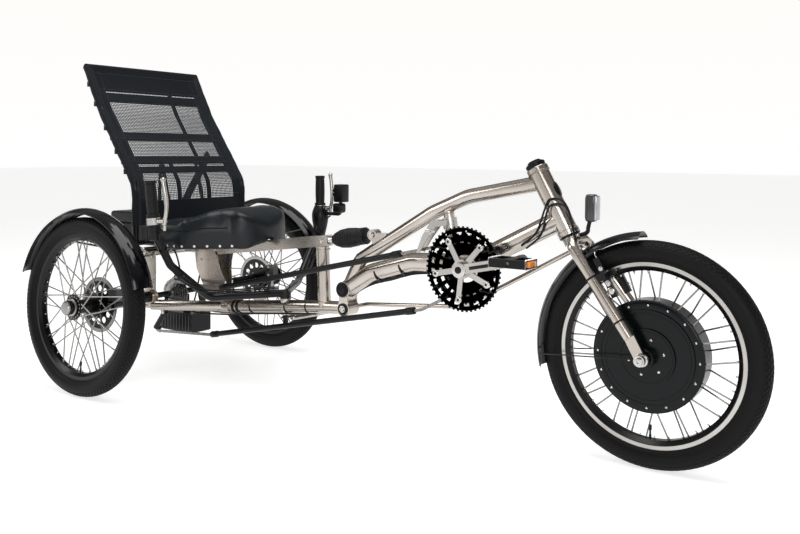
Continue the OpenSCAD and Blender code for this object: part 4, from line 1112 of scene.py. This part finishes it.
# ---- Chainrings and cranks ----
# Three stamped black rings with squared teeth and cut-outs, riveted together and bolted
# to a forged bright five-armed spider that is part of the right crank.
dress(satin_alloy, "crank_arms")
crank = at(crank_x, 0, crank_z)


def across_bike(centre):
    """A placement with its Z to the right and its X ahead."""
    return Matrix.Translation(centre) @ Matrix.Rotation(pi / 2, 4, "X")


def slotted_ring(name, y, bands, cells, open_cells, thick):
    """A flat ring in mm: bands are radii from the inside out, and the third is cut out."""
    flat = bmesh.new()
    rows = [[flat.verts.new((r * cos(2 * pi * c / cells), r * sin(2 * pi * c / cells), 0))
             for c in range(cells)] for r in bands]
    for b in range(len(bands) - 1):
        for c in range(cells):
            if b == 2 and c % 6 in open_cells:
                continue
            k = (c + 1) % cells
            flat.faces.new((rows[b][c], rows[b + 1][c], rows[b + 1][k], rows[b][k]))
    bmesh.ops.solidify(flat, geom=flat.faces[:], thickness=thick)
    bmesh.ops.recalc_face_normals(flat, faces=flat.faces)
    mesh = bpy.data.meshes.new(name)
    flat.to_mesh(mesh)
    flat.free()
    mesh.transform(across_bike(at(crank_x, y + thick / 2, crank_z)) @ Matrix.Scale(0.001, 4))
    return mesh


rings = []
for y, bands, tip, teeth, open_cells in (
        (-66, (68, 74, 83, 91, 98, 102.4), 106, 52, (1, 2, 3)),
        (-59, (44, 56, 64, 74, 80, 84.4), 88, 42, (1, 2, 3)),
        (-52, (34, 40, 45, 50, 54, 56.6), 60, 28, ())):
    rings.append(slotted_ring("ring", y, bands, 120, open_cells, 2.6))
    rings.append(stud_ring(black_alloy, across_bike(at(crank_x, y, crank_z)), teeth,
                           bands[-1] - 1.0, 0, 0, (2.2, 7.4, tip - bands[-1] + 1), 4, 0.62))
ring_set = put("chainring_set", gather("chainring_set", rings))
for face in ring_set.data.polygons:
    face.use_smooth = False
ride(ring_set, "crankset", black_alloy)
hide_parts("chainrings")
bits = [stud_ring(bright_steel, across_bike(crank), 10, 94.5, 67.3, 90, (4.6, 4.6, 1.4), 12,
                  0.8, 12)]
for side in (-1, 1):
    bits.append(lathe("axle_cap", [(19, 87), (19, 87.6), (13, 89.2), (9, 89.2), (9, 88), (0, 88)],
                      crank, (0, side, 0)))
# Black floors in the ring bolts' sockets and in the crank arms' slots are painted shade in those
# recesses; the axle bolt caps are plain black parts.
recess_shade_and_caps = []
bolt_circle = 76
for n in range(5):
    a = radians(48 + 72 * n)
    place_x, place_z = crank_x + bolt_circle * cos(a), crank_z + bolt_circle * sin(a)
    bits.append(lathe("ring_bolt", [(3.2, 0), (7.4, 0), (7.4, 1.6), (6.2, 2.6), (3.4, 2.6),
                                    (3.2, 0)], at(place_x, -72.4, place_z), (0, -1, 0), 24))
    bits.append(lathe("boss", [(0, 0), (9, 0), (9, 5.2), (8, 5.8), (0, 5.8)],
                      at(place_x, -67.5, place_z), (0, -1, 0), 24))
    # Painted shade: a black disc down in each ring bolt's socket.
    recess_shade_and_caps.append(lathe("socket", [(0, 0), (3.3, 0), (3.3, 1.4), (0, 1.4)],
                           at(place_x, -72.9, place_z), (0, -1, 0), 18))
for side, turn_end in ((-1, 12), (1, 192)):
    arm = Matrix.Translation(crank) @ Matrix.Rotation(-radians(turn_end), 4, "Y")
    low, high = sorted((side * 85.5, side * 86.9))
    # Painted shade: black floors set just under each crank arm's face, in its slots.
    for x0, x1, half in ((30, 96, 4.2), (108, 118, 4.5), (124, 134, 4.5), (140, 148, 4.5)):
        recess_shade_and_caps.append(rounded_box("slot", (x0, low, -half), (x1, high, half), 0.6, 2, arm))
    recess_shade_and_caps.append(lathe("axle_bolt", [(0, 88), (8.6, 88), (8.6, 90.6), (7, 91.4), (0, 91.4)],
                           crank, (0, side, 0), 24))
    bits.append(bolt(bright_steel, arm @ Vector((0.170, side * 0.0872, 0)), (0, side, 0), 13, 2.6))
fit("crank_fittings", bits, "crankset", bright_steel)
fit("crank_dark_fittings", recess_shade_and_caps, "crankset", black_alloy)

# ---- Pedals ----
# Black moulded bodies between two toothed steel cage plates, with amber reflectors on
# the front and back.
amber = surface("amber_reflector", (0.75, 0.24, 0.02), 0.16, 0.0, grain=420, dent=0.8,
                tint=(0.55, 0.15, 0.01), coat=0.9)
cage_in, cage_wide, cage_out = 95.5, 61, 46.2
for body, x, z, side in (("right_pedal", 1234.3, 450.3, -1), ("left_pedal", 901.7, 379.7, 1)):
    dress(black_plastic, body)
    plates, lights = [], []
    for face in (-1, 1):
        teeth = bmesh.new()
        outline = [(cage_in + cage_wide * n / 20, 12.2 if n % 2 else 9.2) for n in range(21)]
        outline += [(y, -h) for y, h in outline[::-1]]
        verts = [teeth.verts.new((0, y * side / 1000, h / 1000)) for y, h in outline]
        teeth.faces.new(verts)
        grown = bmesh.ops.extrude_face_region(teeth, geom=teeth.faces[:])
        for v in grown["geom"]:
            if isinstance(v, bmesh.types.BMVert):
                v.co.x += 0.0016
        bmesh.ops.recalc_face_normals(teeth, faces=teeth.faces)
        mesh = bpy.data.meshes.new("cage")
        teeth.to_mesh(mesh)
        teeth.free()
        mesh.transform(Matrix.Translation(at(x + face * cage_out - 0.8, 0, z)))
        plates.append(mesh)
        low, high = sorted((side * 108, side * 144))
        lights.append(rounded_box("reflector", (x + face * 49 - 2.4, low, z - 6.5),
                                  (x + face * 49 + 2.4, high, z + 6.5), 1.4, 2))
    for y in (97, 155):
        plates.append(lathe("collar", [(5.3, -1), (9.5, -1), (9.5, 1), (5.3, 1), (5.3, -1)],
                            at(x, side * y, z), (0, 1, 0), 24))
    cage = fit(body + "_cage", plates, body, bright_steel)
    for face in cage.data.polygons:
        face.use_smooth = False
    fit(body + "_reflectors", lights, body, amber)

# ---- Chain, sprockets and chain tubes ----
# A steel roller chain of half-inch pitch, from the small ring over the sprocket and
# the tension pulley; its long runs pass through two black guide tubes.
chain_tree, entry = start_tree("roller_chain", {
    "Path": "Object", "Pitch": "Float", "Plate Height": "Float", "Plate": "Float",
    "Width": "Float", "Roller": "Float"})
route = wire(chain_tree, "GeometryNodeObjectInfo", {"Object": entry["Path"]})
route = wire(chain_tree, "GeometryNodeMeshToCurve", {"Mesh": route.outputs["Geometry"]})
route = wire(chain_tree, "GeometryNodeResampleCurve", {"Curve": route.outputs[0],
                                                       "Length": entry["Pitch"]}, mode="LENGTH")
long_side = wire(chain_tree, "ShaderNodeMath", {0: entry["Pitch"], 1: entry["Plate Height"]},
                 operation="ADD")
outline = wire(chain_tree, "GeometryNodeCurvePrimitiveQuadrilateral", {
    "Width": long_side.outputs[0], "Height": entry["Plate Height"]})
half_plate = wire(chain_tree, "ShaderNodeMath", {0: entry["Plate Height"], 1: 0.49},
                  operation="MULTIPLY")
outline = wire(chain_tree, "GeometryNodeFilletCurve", {
    "Curve": outline.outputs[0], "Count": 3, "Radius": half_plate.outputs[0]}, mode="POLY")
plate = wire(chain_tree, "GeometryNodeFillCurve", {"Curve": outline.outputs[0]}, mode="NGONS")
thick = wire(chain_tree, "GeometryNodeExtrudeMesh", {
    "Mesh": plate.outputs[0], "Offset Scale": entry["Plate"], "Individual": False})
back_face = wire(chain_tree, "GeometryNodeFlipFaces", {"Mesh": plate.outputs[0]})
plate = wire(chain_tree, "GeometryNodeJoinGeometry")
chain_tree.links.new(thick.outputs["Mesh"], plate.inputs[0])
chain_tree.links.new(back_face.outputs[0], plate.inputs[0])
plate = wire(chain_tree, "GeometryNodeMergeByDistance", {"Geometry": plate.outputs[0],
                                                         "Distance": 0.00001})
even = wire(chain_tree, "ShaderNodeMath", {
    0: wire(chain_tree, "GeometryNodeInputIndex").outputs[0], 1: 2.0}, operation="MODULO")
along = wire(chain_tree, "FunctionNodeAlignRotationToVector", {
    "Vector": wire(chain_tree, "GeometryNodeInputTangent").outputs[0]}, axis="X")
every = wire(chain_tree, "GeometryNodeJoinGeometry")
for parity, share_out in ((0, 0.50), (1, 0.30)):
    for way in (1, -1):
        gap = wire(chain_tree, "ShaderNodeMath", {0: entry["Width"], 1: share_out * way},
                   operation="MULTIPLY")
        stood = wire(chain_tree, "GeometryNodeTransform", {
            "Geometry": plate.outputs[0], "Rotation": (pi / 2, 0, 0),
            "Translation": wire(chain_tree, "ShaderNodeCombineXYZ", {
                "Y": gap.outputs[0]}).outputs[0]})
        pick = wire(chain_tree, "FunctionNodeCompare", {0: even.outputs[0], 1: float(parity)},
                    data_type="FLOAT", operation="EQUAL")
        pick.inputs["Epsilon"].default_value = 0.1
        placed = wire(chain_tree, "GeometryNodeInstanceOnPoints", {
            "Points": route.outputs[0], "Selection": pick.outputs[0],
            "Instance": stood.outputs[0], "Rotation": along.outputs[0]})
        chain_tree.links.new(placed.outputs[0], every.inputs[0])
roller = wire(chain_tree, "GeometryNodeMeshCylinder", {
    "Vertices": 8, "Radius": entry["Roller"], "Depth": entry["Width"]})
half_pitch = wire(chain_tree, "ShaderNodeMath", {0: entry["Pitch"], 1: 0.5}, operation="MULTIPLY")
roller = wire(chain_tree, "GeometryNodeTransform", {
    "Geometry": roller.outputs["Mesh"], "Rotation": (pi / 2, 0, 0),
    "Translation": wire(chain_tree, "ShaderNodeCombineXYZ", {
        "X": half_pitch.outputs[0]}).outputs[0]})
placed = wire(chain_tree, "GeometryNodeInstanceOnPoints", {
    "Points": route.outputs[0], "Instance": roller.outputs[0], "Rotation": along.outputs[0]})
chain_tree.links.new(placed.outputs[0], every.inputs[0])
end_tree(chain_tree, entry, every.outputs[0])
chain_steel = surface("chain_steel", (0.30, 0.29, 0.28), 0.32, 1.0, grain=1400, dent=0.2,
                      tint=(0.20, 0.19, 0.18))


def arc(x, z, r, first, last, step=6):
    """Points of the chain's way round a sprocket."""
    count = max(2, int(abs(last - first) / step))
    return [(x + r * cos(radians(first + (last - first) * i / count)),
             z + r * sin(radians(first + (last - first) * i / count))) for i in range(count + 1)]


chain_y, axle_height, ring_r, cog_r = -52, 250.42, 66, 38
pulley_x, pulley_z, pulley_r = -66, 134, 13.3
upper_end, lower_start, lower_end = (200, 283), (170, 138), (940, 299)
chain_way = (arc(crank_x, crank_z, ring_r, -112, 104) + [upper_end]
             + arc(0, axle_height, cog_r, 88, 236)
             + arc(pulley_x, pulley_z, pulley_r, 138, 275, 15) + [lower_start, lower_end])
path_mesh = bpy.data.meshes.new("chain_path")
path_mesh.from_pydata([at(x, chain_y, z) for x, z in chain_way],
                      [(i, (i + 1) % len(chain_way)) for i in range(len(chain_way))], [])
path = put("chain_path", path_mesh)
chain_mesh = grow(chain_tree, chain_steel, **{
    "Path": path, "Pitch": 0.0127, "Plate Height": 0.0078, "Plate": 0.0010, "Width": 0.0058,
    "Roller": 0.0030})
bpy.data.objects.remove(path)
chain_mesh.name = "roller_chain"
chain_piece = put("roller_chain", chain_mesh)
ride(chain_piece, "frame", chain_steel)
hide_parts("chain")
dress(rotor_steel, "cassette")
dress(satin_alloy, "front_derailleur")
dress(black_alloy, "rear_derailleur")
dress(black_plastic, "chain_tubes")
cog_teeth = []
for i in range(-3, 4):
    radius = 33.7 - i * 5
    cog_teeth.append(stud_ring(
        rotor_steel, across_bike(at(0, chain_y - i * 5, axle_height)),
        max(9, round(2 * pi * radius / 12.7)), radius - 0.6, 0, 0, (1.7, 5.2, 3.2), 4, 0.45, i * 7))
cog_teeth.append(stud_ring(black_alloy, across_bike(at(pulley_x, chain_y, pulley_z)), 10, 8.4, 0,
                           0, (2.2, 3.4, 3), 4, 0.5))
fit("sprocket_teeth", cog_teeth, "frame", rotor_steel)
ring_top = arc(crank_x, crank_z, ring_r, -112, 104)[-1]
ferrules = []
for (x0, z0), (x1, z1), first, last in ((upper_end, ring_top, 0.02, 0.79),
                                        (lower_start, lower_end, 0.01, 0.97)):
    a, b = at(x0, chain_y, z0), at(x1, chain_y, z1)
    for share, way in ((first, 1), (last, -1)):
        ferrules.append(lathe("ferrule", [(6, -1.5), (9.2, -1.5), (9.8, 0), (9.8, 24), (8.3, 28),
                                          (6, 28), (6, -1.5)], a.lerp(b, share), (b - a) * way, 28))
fit("chain_tube_ferrules", ferrules, "frame", black_plastic)
shift_bits = [bolt(bright_steel, at(992, -16.5, 520), (0, -1, 0), 9, 3),
              bolt(bright_steel, at(975, -69.2, 500), (0, -1, 0), 7, 2),
              bolt(bright_steel, at(-14, -81.5, 192), (0, -1, 0), 9, 3),
              bolt(bright_steel, at(pulley_x, -66.2, pulley_z), (0, -1, 0), 8, 2),
              rounded_box("link", (958, -69.5, 500), (988, -66.2, 508), 1.2, 2)]
fit("shifter_bolts", shift_bits, "frame", bright_steel)

# ---- Battery, controller and wiring ----
# A lidded plastic battery case behind the seat, a finned controller box under the
# axle, and cables held along the tubes with narrow nylon ties.
dress(black_plastic, "frame_cables", "motor_controller")
case = gather("battery_case_shell", [
    rounded_box("lower", (-230, -120, 405.6), (-4, 120, 470), 9, 4),
    rounded_box("lid", (-228, -118, 468.5), (-6, 118, 505.3), 9, 4),
    rounded_box("lock", (-120, -121.6, 448), (-96, -117, 470), 2, 3)]
    + [rounded_box("rib", (x, -120.8, 414), (x + 5, 120.8, 462), 1.5, 2)
       for x in range(-212, -20, 24)])
shell = put("battery_case_shell", case)
case_plastic = surface("case_plastic", (0.006, 0.007, 0.008), 0.42, grain=1300, dent=0.35,
                       tint=(0.004, 0.005, 0.006), glint=0.25)
ride(shell, "frame", case_plastic)
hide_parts("battery_case")
fins = [rounded_box("fin", (-112, y, 114.5), (32, y + 2.4, 119), 0.8, 2) for y in range(-2, 72, 8)]
fins += [rounded_box("fin", (x, -7.2, 124), (x + 3, -4, 172), 0.8, 2) for x in range(-106, 30, 14)]
fit("controller_fins", fins, "frame", grey_alloy)
wiring = []
for y, lift_z in ((-4, 0), (4, 1), (0, -4)):
    wiring.append(sweep("lead", [at(x, y, z + lift_z) for x, z in (
        (676, 304), (700, 320), (745, 343), (812, 362.5), (880, 383), (965, 391), (1030, 392))],
        0.0022))
for side in (-1, 1):
    wiring.append(sweep("lead", [at(x, side * y, z) for x, y, z in (
        (20, 34, 250), (24, 40, 214), (60, 30, 196), (160, 17, 195), (330, 15, 215),
        (480, 15, 232), (560, 16, 240))], 0.0026))
    wiring.append(sweep("lead", [at(x, side * y, z) for x, y, z in (
        (0, 70, 430), (10, 66, 405), (24, 58, 370), (22, 40, 300), (16, 30, 240), (10, 24, 196),
        (0, 30 * side + 10, 180))], 0.0028))
for x, z, axis, wide in ((770, 375.29, (10, 0, 3), 25.6), (850, 398.59, (10, 0, 3), 25.6),
                         (300, 230.65, (8, 0, 1), 19), (440, 245.65, (8, 0, 1), 19),
                         (520, 253.95, (6, 0, 0.7), 19)):
    wiring.append(lathe("tie", [(wide - 1.6, -2.4), (wide, -2.4), (wide, 2.4), (wide - 1.6, 2.4),
                                (wide - 1.6, -2.4)], at(x, 0, z), axis, 40))
for x in (228, 246):
    wiring.append(lathe("ring", [(18.7, -3), (21.5, -3), (21.5, 3), (18.7, 3), (18.7, -3)],
                        at(x, 0, 219 + (x - 180) * 0.108), (1, 0, 0.108), 40))
fit("frame_wiring", wiring, "frame", black_plastic)
motor_lead = sweep("motor_lead", [on_fork(49, 74, 4), on_fork(38, 84, 10), on_fork(28, 83, 34),
                                  on_fork(30, 79, 70), on_fork(20, 74, 150), on_fork(6, 66, 230),
                                  on_fork(-8, 56, 272), on_fork(-20, 34, 292)], 0.0028)
ties = [lathe("tie", [(13.4, -2), (15, -2), (15, 2), (13.4, 2), (13.4, -2)],
              on_fork(x, side * y, h), on_fork(13, side * 47, 284) - on_fork(46, side * 66, 52), 28)
        for x, y, h in ((40.3, 62.7, 92), (24.5, 53.6, 203)) for side in (-1, 1)]
fit("fork_wiring", [motor_lead] + ties, "fork", black_plastic)
pieces_each = 5
for n, (start, side_y) in enumerate(((1205, -27), (1218, -31))):
    knots = [at(start, -22, 478 - 5 * n), at(start + 40, -27, 512 - 4 * n),
             on_fork(-14, side_y, 398 - 12 * n), on_fork(8, side_y - 4, 410 - 14 * n),
             on_fork(30, side_y + 4, 396 - 12 * n), on_fork(36, side_y, 366 - 8 * n),
             on_fork(29, side_y - 4, 330 - 6 * n), on_fork(26, -42, 300 - 4 * n)]
    line = []
    for i in range(len(knots) - 1):
        p0, p1 = knots[max(0, i - 1)], knots[i]
        p2, p3 = knots[i + 1], knots[min(len(knots) - 1, i + 2)]
        for k in range(pieces_each + (1 if i == len(knots) - 2 else 0)):
            t = k / pieces_each
            line.append(0.5 * (2 * p1 + (p2 - p0) * t + (2 * p0 - 5 * p1 + 4 * p2 - p3) * t * t
                               + (3 * p1 - p0 - 3 * p2 + p3) * t ** 3))
    name = "steering_cable_%d" % (n + 1)
    loop = put(name, sweep(name, line, 0.0025, False, 8))
    loop.data.materials.append(black_plastic)
    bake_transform(loop)
